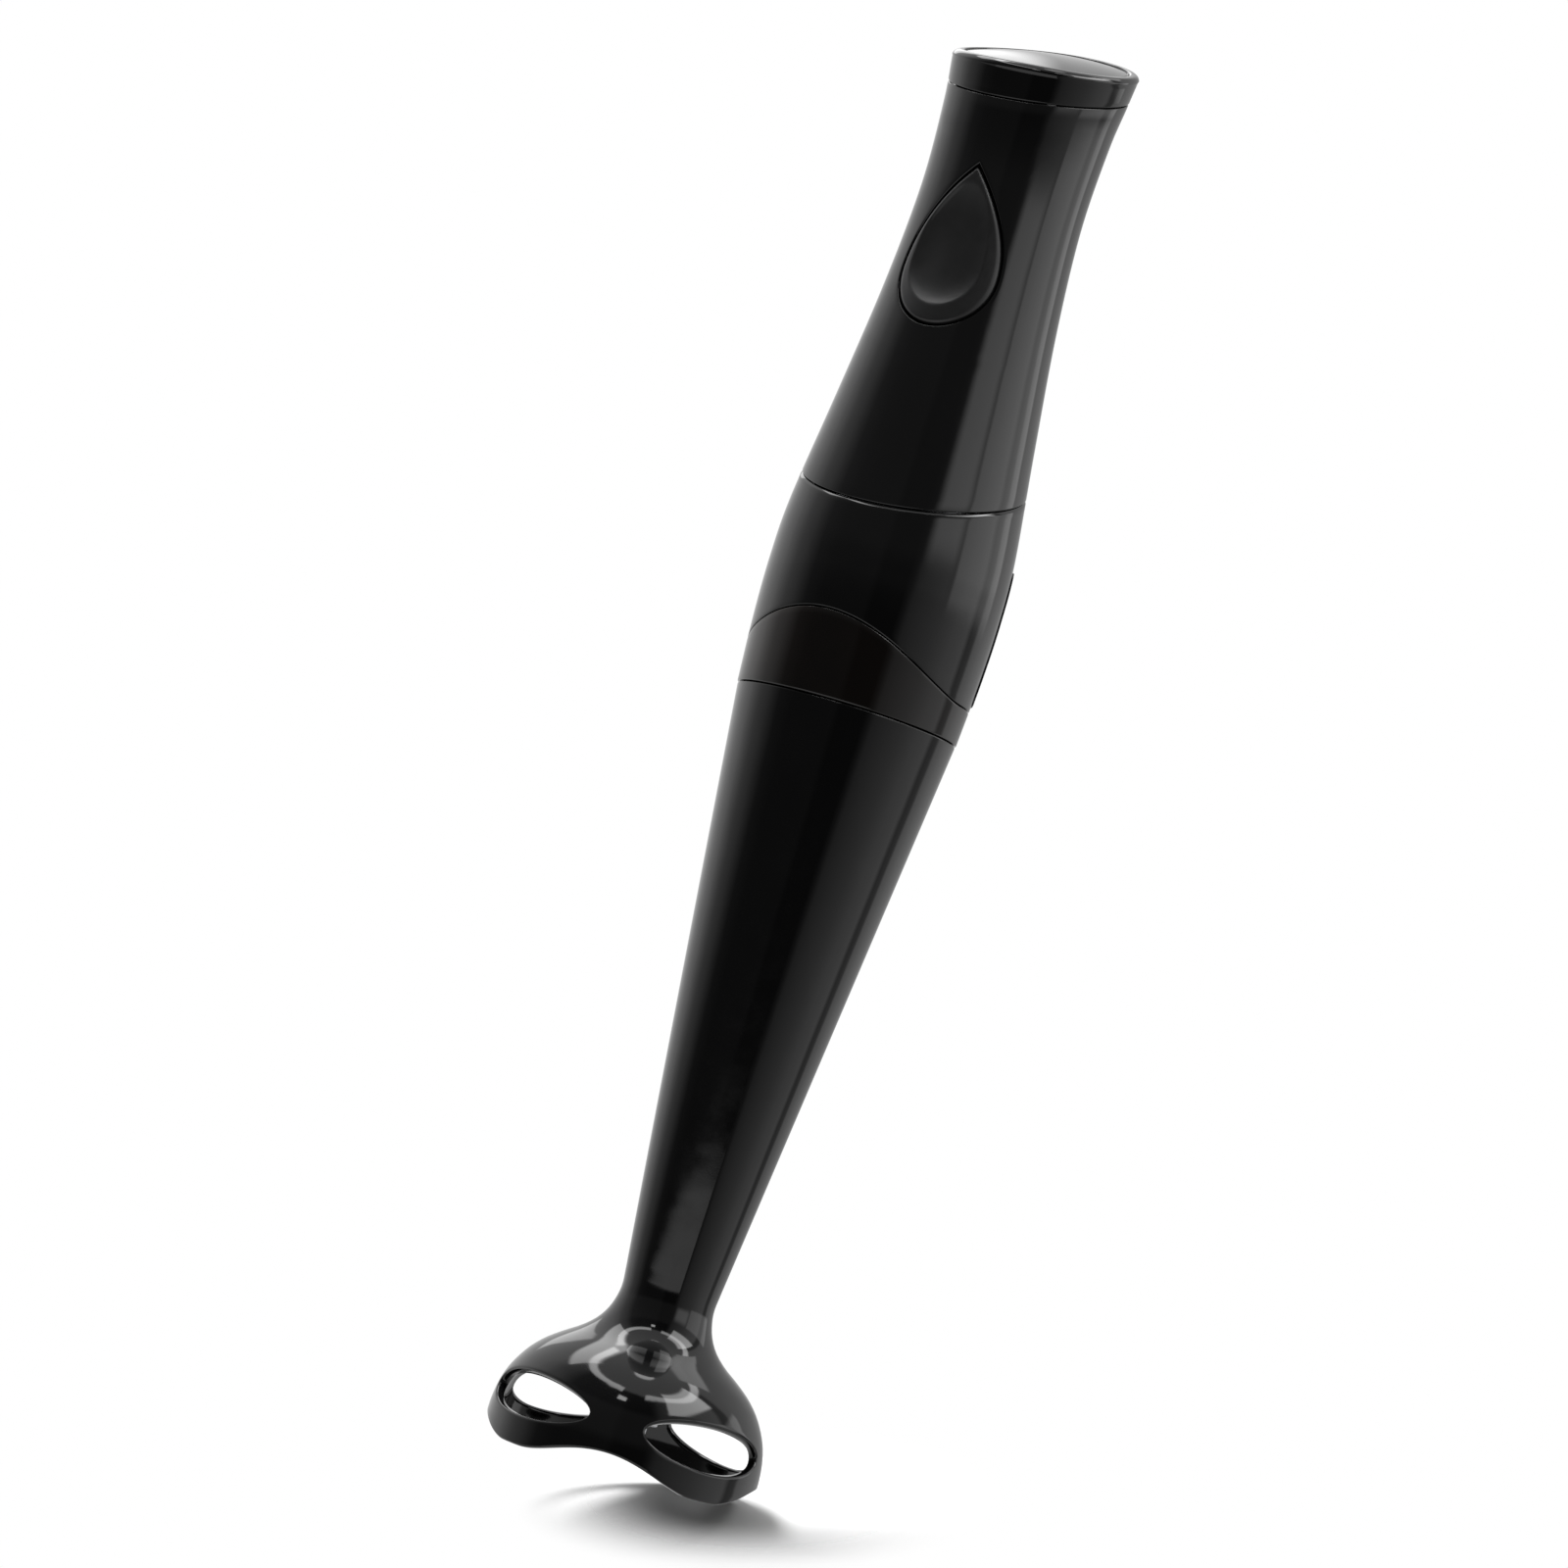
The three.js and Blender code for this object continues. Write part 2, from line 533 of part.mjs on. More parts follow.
function bladeAssembly() {
  const [studR, studZ, shoulderZ, shaftZ] = [2, 8.6, 13.5, 175.1];
  const shaft = turned([
    [0, studZ], [studR, studZ], [studR, shoulderZ], [DRIVE_R, shoulderZ], [DRIVE_R, shaftZ], [0, shaftZ],
  ], 20);
  add("drive_shaft", shaft, "steel");
  add("blade_spacer", ring(DRIVE_R + GAP, 5.2, 13.9, 22.9), "steel");
  add("blade_nut", less(disc(4.4, 9, 11.5, 6), disc(studR + GAP, 8, 12)), "steel");

  // Two wings on a flat hub, one bent up and one bent down, each cut back to a slanted tip.
  const thickness = 1.2;
  const outline = [[0, -4.6], [12, -4], [16.5, -0.6], [15.2, 3.4], [0, 4.6]];
  const wing = (bend, turn) => {
    const shape = new THREE.Shape(outline.map(([x, y]) => new THREE.Vector2(x, y)));
    const plate = new THREE.ExtrudeGeometry(shape, { depth: thickness, bevelEnabled: false });
    return solid(plate.rotateY(-bend).translate(5.4, 0, BLADE_Z).rotateZ(BLADE_TURN + turn));
  };
  const bentUp = wing(THREE.MathUtils.degToRad(20), 0);
  const bentDown = wing(THREE.MathUtils.degToRad(-10), Math.PI);
  const hub = disc(6.4, BLADE_Z, BLADE_Z + thickness);
  add("blade", less(joined(hub, bentUp, bentDown), disc(studR + GAP, 8, 15)), "steel");
}

cap();
grip();
button();
electrics();
housing();
collar();
stator();
rotor();
blendingShaft();
shaftBearings();
bladeAssembly();

export default group;
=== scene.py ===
import json
import math

import bmesh
import bpy
import numpy as np
from mathutils import Matrix, Vector


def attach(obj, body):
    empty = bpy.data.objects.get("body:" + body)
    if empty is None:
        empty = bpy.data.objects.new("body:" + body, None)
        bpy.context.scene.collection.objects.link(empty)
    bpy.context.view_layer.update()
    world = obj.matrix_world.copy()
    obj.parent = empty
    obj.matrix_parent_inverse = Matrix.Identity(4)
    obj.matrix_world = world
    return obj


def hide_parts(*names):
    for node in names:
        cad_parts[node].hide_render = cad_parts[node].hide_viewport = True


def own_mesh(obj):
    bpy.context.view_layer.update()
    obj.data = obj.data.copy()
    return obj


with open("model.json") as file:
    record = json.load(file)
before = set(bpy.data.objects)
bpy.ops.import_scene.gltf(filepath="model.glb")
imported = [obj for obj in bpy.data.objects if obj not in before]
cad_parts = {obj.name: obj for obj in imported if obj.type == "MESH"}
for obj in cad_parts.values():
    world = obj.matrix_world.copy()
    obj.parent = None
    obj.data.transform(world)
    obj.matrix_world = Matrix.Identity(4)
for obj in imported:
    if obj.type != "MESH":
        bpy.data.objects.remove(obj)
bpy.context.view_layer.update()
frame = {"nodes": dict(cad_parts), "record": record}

# ------------------------------------------------------------------ driving dimensions, in metres
MM = 0.001
WALL = 2.4 * MM
SEAM_GAP = 0.3 * MM
SEAM_SLOPE = math.tan(math.radians(21.5))  # cap and grip seams drop towards the front
TOP_Z = 353.2 * MM
CAP_SEAM_Z = 345.8 * MM
GRIP_SEAM_Z = 245.6 * MM
COLLAR_BACK_Z = 196.2 * MM
COLLAR_ARCH = 11.6 * MM
SHAFT_TOP_Z = 187.2 * MM
ARCH_AZIMUTH = math.radians(18.5)
ARCH_HEIGHT = 5 * MM
LOBE_FLAT = 0.3 * MM
FOOT_BAND_Z = 6.6 * MM
LOBES = 4
COLUMNS = 160  # columns of the big round shells

# Outer radius at chosen heights, above the blending shaft.
SKIN_STATIONS = [
    (27.35, 187), (28.4, 204), (28.75, 219), (28.15, 234), (25, 260.5),
    (21.75, 290), (20.15, 316), (20.9, 337), (22.1, 348), (23.8, 363), (25, 372),
]


def catmull(stations, per_span=24):
    """Points along the uniform Catmull-Rom curve through the stations, in metres."""
    p = np.array(stations, float) * MM
    p = np.vstack([p[:1], p, p[-1:]])
    out = []
    for i in range(1, len(p) - 2):
        for t in np.linspace(0, 1, per_span, endpoint=False):
            a, b, c, d = p[i - 1: i + 3]
            v0, v1 = (c - a) / 2, (d - b) / 2
            out.append(
                (2 * b - 2 * c + v0 + v1) * t ** 3 + (-3 * b + 3 * c - 2 * v0 - v1) * t ** 2 + v0 * t + b
            )
    out.append(p[-2])
    return np.array(out)


SKIN = catmull(SKIN_STATIONS)


def skin(z):
    return np.interp(z, SKIN[:, 1], SKIN[:, 0])


def around(columns=COLUMNS, start=0.0):
    """Azimuths of the columns of a round shell: 0 is the front, growing towards +X."""
    return start + 2 * math.pi * np.arange(columns) / columns


def place(azimuth, radius, z):
    """Points at those azimuths, radii and heights."""
    azimuth, radius, z = np.broadcast_arrays(azimuth, radius, z)
    return np.stack([radius * np.sin(azimuth), -radius * np.cos(azimuth), z], -1)


def tilted(z0, azimuth):
    """Height of the slanted plane that crosses the axis at z0, where it meets the skin."""
    z = np.full_like(np.asarray(azimuth, float), z0)
    for _ in range(12):
        z = z0 - SEAM_SLOPE * np.cos(azimuth) * skin(z)
    return z


def collar_edge(azimuth):
    """Height of the arched seam: level round the back, raised at the front."""
    return COLLAR_BACK_Z + COLLAR_ARCH * np.clip(np.cos(azimuth), 0, None) ** 2


# ------------------------------------------------------------------ mesh helpers
def link(name, mesh):
    obj = bpy.data.objects.new(name, mesh)
    bpy.context.scene.collection.objects.link(obj)
    return obj


def shade_smooth(mesh):
    mesh.polygons.foreach_set("use_smooth", [True] * len(mesh.polygons))


def finish_mesh(name, verts, faces):
    """Welds, drops stray parts, turns faces outwards and makes the object."""
    mesh = bpy.data.meshes.new(name)
    mesh.from_pydata([tuple(v) for v in verts], [], faces)
    bm = bmesh.new()
    bm.from_mesh(mesh)
    bmesh.ops.remove_doubles(bm, verts=bm.verts, dist=1e-7)
    bmesh.ops.dissolve_degenerate(bm, edges=bm.edges, dist=1e-8)
    bmesh.ops.recalc_face_normals(bm, faces=bm.faces)
    bm.to_mesh(mesh)
    bm.free()
    shade_smooth(mesh)
    mesh.update()
    return link(name, mesh)


def grid_faces(rows, columns, close_rows=False, close_columns=True):
    """Quads of a grid of rows by columns of vertices."""
    faces = []
    for j in range(rows if close_rows else rows - 1):
        for i in range(columns if close_columns else columns - 1):
            k, m = (j + 1) % rows, (i + 1) % columns
            faces.append((j * columns + i, j * columns + m, k * columns + m, k * columns + i))
    return faces


def ring_solid(name, loops):
    """A closed solid ring from loops of points, the last loop joining the first."""
    loops = np.array(loops)
    rows, columns = loops.shape[:2]
    return finish_mesh(name, loops.reshape(-1, 3), grid_faces(rows, columns, close_rows=True))


def rounded(outline, radius, closed=True, steps=5):
    """An [r, z] outline with its corners rounded; an open one keeps its two ends."""
    points = [np.array(p, float) for p in outline]
    count = len(points)
    out = []
    for i, corner in enumerate(points):
        if not closed and i in (0, count - 1):
            out.append(corner)
            continue
        before, after = points[i - 1] - corner, points[(i + 1) % count] - corner
        la, lb = np.linalg.norm(before), np.linalg.norm(after)
        cut = min(radius, la * 0.45, lb * 0.45)
        a, b = corner + before / la * cut, corner + after / lb * cut
        for t in np.linspace(0, 1, steps):
            out.append((1 - t) ** 2 * a + 2 * t * (1 - t) * corner + t ** 2 * b)
    return out


def turned(name, outline, columns=72, radius=0.3):
    """An [r, z] outline in millimetres, corners rounded, turned about Z. It may touch the axis."""
    closed = outline[0][0] != 0
    profile = np.array(rounded(outline, radius, closed)) * MM
    loops = [place(around(columns), r, z) for r, z in profile]
    faces = grid_faces(len(profile), columns, close_rows=closed)
    return finish_mesh(name, np.array(loops).reshape(-1, 3), faces)


def edge_arc(radius, steps=6):
    """(inset, rise) steps of a quarter round, from the skin to the lip."""
    angles = np.linspace(0, math.pi / 2, steps)
    return [(radius * (1 - math.cos(a)), radius * math.sin(a)) for a in angles]


def shell_rows(low, high, round_low, round_high, wall, rows, lip=None):
    """(height, inset) rows of a tube wall between two edge curves, round its whole section."""
    section = []
    for inset, rise in reversed(edge_arc(round_low)):
        section.append((low + round_low - rise, inset))
    start, stop = low + round_low, high - round_high
    for t in np.linspace(0, 1, rows)[1:-1]:
        section.append((start + (stop - start) * t, 0.0))
    for inset, rise in lip or edge_arc(round_high):
        section.append((high - round_high + rise, inset))
    section.append((high, wall * 0.6))
    section.append((high, wall))
    for t in np.linspace(1, 0, max(3, rows // 3)):
        section.append((low + 1e-5 + (high - low - 2e-5) * t, wall))
    section.append((low, wall))
    section.append((low, wall * 0.6))
    return section


# ------------------------------------------------------------------ shells with openings
class Sheet:
    """A sheet in (azimuth, height), made of quads, with an opening warped into its grid."""

    def __init__(self):
        self.points = []
        self.faces = []
        self.loops = []  # (vertex indices in order, outward directions in (arc length, height))

    def add(self, points):
        start = len(self.points)
        self.points.extend([tuple(p) for p in points])
        return list(range(start, start + len(points)))


def resample_by_angle(outline, centre, angles):
    """Points where rays from the centre at those angles cross a star-shaped outline."""
    d = np.asarray(outline) - centre
    theta = np.unwrap(np.arctan2(d[:, 1], d[:, 0]))
    order = np.argsort(theta % (2 * math.pi))
    theta, d = (theta % (2 * math.pi))[order], d[order]
    theta = np.concatenate([theta[-1:] - 2 * math.pi, theta, theta[:1] + 2 * math.pi])
    d = np.vstack([d[-1:], d, d[:1]])
    out = []
    for angle in angles:
        angle %= 2 * math.pi
        k = int(np.clip(np.searchsorted(theta, angle) - 1, 0, len(theta) - 2))
        p, q = d[k], d[k + 1]
        ray = np.array([math.cos(angle), math.sin(angle)])
        edge = q - p
        cross = edge[0] * ray[1] - edge[1] * ray[0]
        t = 0.0 if abs(cross) < 1e-15 else (ray[0] * p[1] - ray[1] * p[0]) / cross
        out.append(centre + p + np.clip(t, 0, 1) * edge)
    return np.array(out)


def loop_normals(points):
    """Unit normals of a closed loop of 2-D points, pointing to its middle."""
    ahead, behind = np.roll(points, -1, 0), np.roll(points, 1, 0)
    tangent = ahead - behind
    normal = np.stack([-tangent[:, 1], tangent[:, 0]], -1)
    normal /= np.linalg.norm(normal, axis=1)[:, None] + 1e-15
    inward = points.mean(0) - points
    flip = np.sign((normal * inward).sum(1))
    return normal * flip[:, None]


def opened_sheet(azimuth, heights, reference, windows, rings=9):
    """The grid of azimuths by heights with one opening warped into each window.

    heights has one row per grid row and one column per azimuth. reference is the radius that
    turns azimuth into arc length. A window is (first column, last column, first row, last row,
    outline, centre), its outline in (arc length, height).
    """
    rows, columns = heights.shape
    sheet = Sheet()
    index = -np.ones((rows, columns), int)
    hidden = np.zeros((rows, columns), bool)  # strictly inside a window
    blocked = np.zeros((rows, columns), bool)  # quads inside a window
    for c0, c1, r0, r1, _, _ in windows:
        for j in range(r0, r1):
            for i in range(c0, c1):
                blocked[j, i % columns] = True
        for j in range(r0 + 1, r1):
            for i in range(c0 + 1, c1):
                hidden[j, i % columns] = True
    for j in range(rows):
        for i in range(columns):
            if not hidden[j, i]:
                index[j, i] = sheet.add([(azimuth[i], heights[j, i])])[0]
    for j in range(rows - 1):
        for i in range(columns):
            m = (i + 1) % columns
            if not blocked[j, i]:
                sheet.faces.append((index[j, i], index[j, m], index[j + 1, m], index[j + 1, i]))
    for c0, c1, r0, r1, outline, centre in windows:
        path = [(r0, i) for i in range(c0, c1)] + [(j, c1) for j in range(r0, r1)]
        path += [(r1, i) for i in range(c1, c0, -1)] + [(j, c0) for j in range(r1, r0, -1)]
        # azimuth counted on past a full turn, so that a window may cross the start column
        step = azimuth[1] - azimuth[0]
        outer = np.array([
            ((azimuth[0] + i * step) * reference, heights[j, i % columns]) for j, i in path
        ])
        angles = np.arctan2(outer[:, 1] - centre[1], outer[:, 0] - centre[0])
        inner = resample_by_angle(outline, np.array(centre), angles)
        previous = [index[j, i % columns] for j, i in path]
        for k in range(1, rings + 1):
            t = (k / rings) ** 0.8
            ring = outer + (inner - outer) * t
            ids = sheet.add([(s / reference, z) for s, z in ring])
            count = len(ids)
            for n in range(count):
                m = (n + 1) % count
                sheet.faces.append((previous[n], previous[m], ids[m], ids[n]))
            previous = ids
        sheet.loops.append((previous, loop_normals(inner)))
    sheet.loops.append(([index[0, i] for i in range(columns)], np.tile([0.0, -1.0], (columns, 1))))
    sheet.loops.append(([index[-1, i] for i in range(columns)], np.tile([0.0, 1.0], (columns, 1))))
    return sheet


def thicken(name, sheet, reference, edge_radius, wall, position, warp=None):
    """Makes the sheet a closed wall. position(azimuth, z, inset) gives points, warp may move them."""
    points = np.array(sheet.points)
    outer = position(points[:, 0], points[:, 1], 0.0)
    inner = position(points[:, 0], points[:, 1], wall)
    verts = [outer, inner]
    count = len(points)
    faces = [tuple(f) for f in sheet.faces]
    faces += [tuple(v + count for v in reversed(f)) for f in sheet.faces]
    total = 2 * count
    for (ids, normals), radius in zip(sheet.loops, edge_radius):
        base = points[ids]
        previous = ids
        depth = edge_arc(radius)[1:] + [(wall * 0.5, radius), (wall - radius * 0.6, radius)]
        for inset, rise in depth:
            moved_azimuth = base[:, 0] + normals[:, 0] * rise / reference
            moved_z = base[:, 1] + normals[:, 1] * rise
            verts.append(position(moved_azimuth, moved_z, inset))
            row = list(range(total, total + len(ids)))
            total += len(ids)
            for n in range(len(ids)):
                m = (n + 1) % len(ids)
                faces.append((previous[n], previous[m], row[m], row[n]))
            previous = row
        last = [v + count for v in ids]
        for n in range(len(ids)):
            m = (n + 1) % len(ids)
            faces.append((previous[n], previous[m], last[m], last[n]))
    verts = np.concatenate(verts)
    if warp is not None:
        verts = warp(verts)
    return finish_mesh(name, verts, faces)


# ------------------------------------------------------------------ materials
def new_material(name):
    material = bpy.data.materials.new(name)
    material.use_nodes = True
    nodes, links = material.node_tree.nodes, material.node_tree.links
    return material, nodes, links, nodes["Principled BSDF"]


def noise(nodes, links, scale, detail=4.0, roughness=0.55, stretch=None):
    """A noise texture on object coordinates, in metres, optionally stretched along an axis."""
    coords = nodes.new("ShaderNodeTexCoord")
    texture = nodes.new("ShaderNodeTexNoise")
    texture.inputs["Scale"].default_value = scale
    texture.inputs["Detail"].default_value = detail
    texture.inputs["Roughness"].default_value = roughness
    if stretch:
        mapping = nodes.new("ShaderNodeMapping")
        mapping.inputs["Scale"].default_value = stretch
        links.new(coords.outputs["Object"], mapping.inputs["Vector"])
        links.new(mapping.outputs["Vector"], texture.inputs["Vector"])
    else:
        links.new(coords.outputs["Object"], texture.inputs["Vector"])
    return texture.outputs["Fac"]


def ranged(nodes, links, value, low, high, from_low=0.3, from_high=0.7):
    """The value mapped from its usual spread to a range."""
    node = nodes.new("ShaderNodeMapRange")
    node.inputs["From Min"].default_value = from_low
    node.inputs["From Max"].default_value = from_high
    node.inputs["To Min"].default_value = low
    node.inputs["To Max"].default_value = high
    links.new(value, node.inputs["Value"])
    return node.outputs["Result"]


def tinted(nodes, links, value, dark, light):
    """A colour between two, by the value."""
    ramp = nodes.new("ShaderNodeValToRGB")
    ramp.color_ramp.elements[0].position = 0.3
    ramp.color_ramp.elements[1].position = 0.7
    ramp.color_ramp.elements[0].color = (*dark, 1)
    ramp.color_ramp.elements[1].color = (*light, 1)
    links.new(value, ramp.inputs["Fac"])
    return ramp.outputs["Color"]


def bumped(nodes, links, shader, height, distance, after=None):
    """Adds a bump of that height, in metres, to the shader's normal."""
    bump = nodes.new("ShaderNodeBump")
    bump.inputs["Distance"].default_value = distance
    bump.inputs["Strength"].default_value = 1.0
    links.new(height, bump.inputs["Height"])
    if after is not None:
        links.new(after, bump.inputs["Normal"])
    links.new(bump.outputs["Normal"], shader.inputs["Normal"])
    return bump.outputs["Normal"]


def gloss_plastic(name, dark, light, roughness=(0.035, 0.085)):
    """High-gloss injection-moulded plastic: slow moulding waves, faint handling haze."""
    material, nodes, links, shader = new_material(name)
    cloud = noise(nodes, links, 45, 3)
    links.new(tinted(nodes, links, cloud, dark, light), shader.inputs["Base Color"])
    haze = noise(nodes, links, 160, 6, 0.65)
    links.new(ranged(nodes, links, haze, *roughness), shader.inputs["Roughness"])
    shader.inputs["IOR"].default_value = 1.5
    wave = noise(nodes, links, 70, 2, 0.4)
    slow = bumped(nodes, links, shader, wave, 0.00004)
    fine = noise(nodes, links, 2600, 2, 0.5)
    bumped(nodes, links, shader, fine, 0.0000012, after=slow)
    return material


def soft_touch(name, dark, light):
    """Matt soft-touch coating: fine grain, roughness that varies a little at random."""
    material, nodes, links, shader = new_material(name)
    cloud = noise(nodes, links, 120, 4)
    links.new(tinted(nodes, links, cloud, dark, light), shader.inputs["Base Color"])
    haze = noise(nodes, links, 300, 5)
    links.new(ranged(nodes, links, haze, 0.36, 0.44), shader.inputs["Roughness"])
    shader.inputs["Specular IOR Level"].default_value = 0.5
    grain = noise(nodes, links, 5200, 3, 0.6)
    bumped(nodes, links, shader, grain, 0.000008)
    return material


def brushed(name, dark, light, roughness, stretch, scale=900):
    """Metal with fine lines along one direction."""
    material, nodes, links, shader = new_material(name)
    shader.inputs["Metallic"].default_value = 1.0
    lines = noise(nodes, links, scale, 4, 0.6, stretch)
    links.new(tinted(nodes, links, lines, dark, light), shader.inputs["Base Color"])
    links.new(ranged(nodes, links, lines, *roughness), shader.inputs["Roughness"])
    bumped(nodes, links, shader, lines, 0.000004)
    return material


def plain_solid(name, dark, light, roughness, depth=0.00001, metallic=0.0):
    """Moulded or sintered stuff with a fine even grain."""
    material, nodes, links, shader = new_material(name)
    shader.inputs["Metallic"].default_value = metallic
    cloud = noise(nodes, links, 260, 4)
    links.new(tinted(nodes, links, cloud, dark, light), shader.inputs["Base Color"])
    links.new(ranged(nodes, links, cloud, *roughness), shader.inputs["Roughness"])
    bumped(nodes, links, shader, noise(nodes, links, 3200, 3), depth)
    return material


MATERIALS = {
    "housing_gloss": gloss_plastic("gloss black plastic", (0.0016, 0.0016, 0.0017), (0.0024, 0.0024, 0.0025)),
    "collar_smoke": gloss_plastic("smoke black plastic", (0.0026, 0.0019, 0.0016), (0.0046, 0.0033, 0.0027)),
    "button_soft": soft_touch("soft-touch black", (0.008, 0.008, 0.0082), (0.0105, 0.0105, 0.0108)),
    "label": plain_solid("satin black plate", (0.010, 0.010, 0.0105), (0.014, 0.014, 0.0145), (0.3, 0.38)),
    "rubber": plain_solid("black rubber", (0.01, 0.01, 0.01), (0.018, 0.018, 0.018), (0.7, 0.85), 0.00002),
    "nylon": plain_solid("natural nylon", (0.52, 0.5, 0.44), (0.62, 0.6, 0.54), (0.42, 0.55)),
    "steel": brushed("brushed steel", (0.50, 0.51, 0.53), (0.62, 0.63, 0.65), (0.2, 0.34), (1, 1, 14)),
    "bronze": plain_solid("sintered bronze", (0.4, 0.22, 0.1), (0.5, 0.3, 0.15), (0.42, 0.6), metallic=1.0),
    "copper": brushed("enamelled copper", (0.5, 0.2, 0.08), (0.68, 0.31, 0.14), (0.22, 0.4), (1, 1, 30), 500),
    "ferrite": plain_solid("ferrite", (0.045, 0.045, 0.05), (0.07, 0.07, 0.075), (0.5, 0.7)),
    "carbon": plain_solid("moulded black", (0.022, 0.022, 0.023), (0.036, 0.036, 0.037), (0.45, 0.6)),
    "board": plain_solid("solder mask", (0.02, 0.12, 0.045), (0.035, 0.18, 0.07), (0.3, 0.42)),
}

SLOT_OF = {s["node"]: s["material_slot"] for s in frame["record"]["subparts"]}
BODY_OF = {n: b for b, nodes in frame["record"]["behaviour"]["bodies"].items() for n in nodes}

for node_name, node in frame["nodes"].items():
    node.data.materials.clear()
    node.data.materials.append(MATERIALS[SLOT_OF[node_name]])


def stands_for(piece, node):
    """The piece rides, is finished and is counted as that CAD node."""
    piece.data.materials.clear()
    piece.data.materials.append(MATERIALS[SLOT_OF[node]])
    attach(piece, BODY_OF[node])
    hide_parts(node)
    return piece


# ------------------------------------------------------------------ cap
RIM_WIDTH = 2.7 * MM
TOP_SLOPE = math.tan(math.radians(19.8))
TOP_CROWN = 1.1 * MM  # the top is arched across X by this much
WELL_DEPTH = 2.6 * MM


def top_rise(x, y):
    """Height of the cap's slanted, arched top over its height on the axis without the arch."""
    return TOP_SLOPE * y + TOP_CROWN * (1 - (x / (23 * MM)) ** 2)


def on_top(azimuth, radius, sink):
    """Points at that radius, sunk below the cap's top."""
    points = place(azimuth, radius, 0.0)
    points[..., 2] = TOP_Z + top_rise(points[..., 0], points[..., 1]) - sink
    return points


def cap():
    azimuth = around()
    low = tilted(CAP_SEAM_Z + SEAM_GAP / 2, azimuth)
    high = np.full(COLUMNS, TOP_Z)
    for _ in range(12):
        high = on_top(azimuth, skin(high), 0)[:, 2]
    edge = skin(high)
    crown = 1.6 * MM
    foot = 0.3 * MM
    loops = []
    for inset, rise in reversed(edge_arc(foot)):
        z = low + foot - rise
        loops.append(place(azimuth, skin(z) - inset, z))
    for t in np.linspace(0, 1, 7)[1:]:
        z = low + foot + (high - crown - low - foot) * t
        loops.append(place(azimuth, skin(z), z))
    for inset, rise in edge_arc(crown, 9)[1:]:
        loops.append(on_top(azimuth, edge - inset, crown - rise))
    lip, ledge = 0.35 * MM, 2 * MM
    inner = edge - RIM_WIDTH
    well = [
        (lip, 0), (lip * 0.3, lip * 0.3), (0, lip), (0, WELL_DEPTH),
        (-ledge, WELL_DEPTH), (-ledge, WELL_DEPTH + MM),
    ]
    loops += [on_top(azimuth, inner + outwards, sink) for outwards, sink in well]
    for z, inset in [(low + 2 * MM, WALL), (low, WALL), (low, WALL * 0.5)]:
        loops.append(place(azimuth, skin(z) - inset, z))
    stands_for(ring_solid("cap_rim_moulding", loops), "cap_rim")

    # the insert: a shallow dome with a rounded edge that sits in the rim's well
    gap = 0.35 * MM
    full = inner - gap
    sunk, soft, dome = 0.3 * MM, 0.5 * MM, 1.3 * MM
    loops = [on_top(azimuth, full * t, WELL_DEPTH - gap) for t in (0.01, 0.5, 1)]
    for inset, rise in edge_arc(soft):
        loops.append(on_top(azimuth, full - inset, sunk + soft - rise))
    for t in np.linspace(0.96, 0.01, 24):
        loops.append(on_top(azimuth, full * t, sunk - dome * (1 - (t / 0.97) ** 2)))
    verts = np.array(loops).reshape(-1, 3)
    faces = grid_faces(len(loops), COLUMNS)
    faces += [tuple(range(COLUMNS)), tuple(range(len(verts) - COLUMNS, len(verts)))]
    stands_for(finish_mesh("cap_insert", verts, faces), "cap_inset")


# ------------------------------------------------------------------ grip and button
GLAND_Z, GLAND_HOLE_R = 335 * MM, 5.1 * MM
PIVOT = Vector((0, -13 * MM, 318.5 * MM))
SPRING_Z = 284.5 * MM
BUTTON = {"widest": 293.8 * MM, "half": 12.6 * MM, "rise": 27.2 * MM, "drop": 14.1 * MM}


def teardrop(inset, count=160):
    """Outline in (x, z) seen from the front, moved inwards by inset."""
    half = BUTTON["half"] - inset
    out = []
    for angle in np.linspace(math.pi, 2 * math.pi, count // 2, endpoint=False):
        out.append((half * math.cos(angle), BUTTON["widest"] + (BUTTON["drop"] - inset) * math.sin(angle)))
    tip = BUTTON["rise"] - 1.5 * inset
    for t in np.linspace(0, 1, count // 4, endpoint=False):
        out.append((half * (1 - t * t), BUTTON["widest"] + tip * t))
    for t in np.linspace(1, 0, count // 4, endpoint=False):
        out.append((-half * (1 - t * t), BUTTON["widest"] + tip * t))
    return np.array(out)


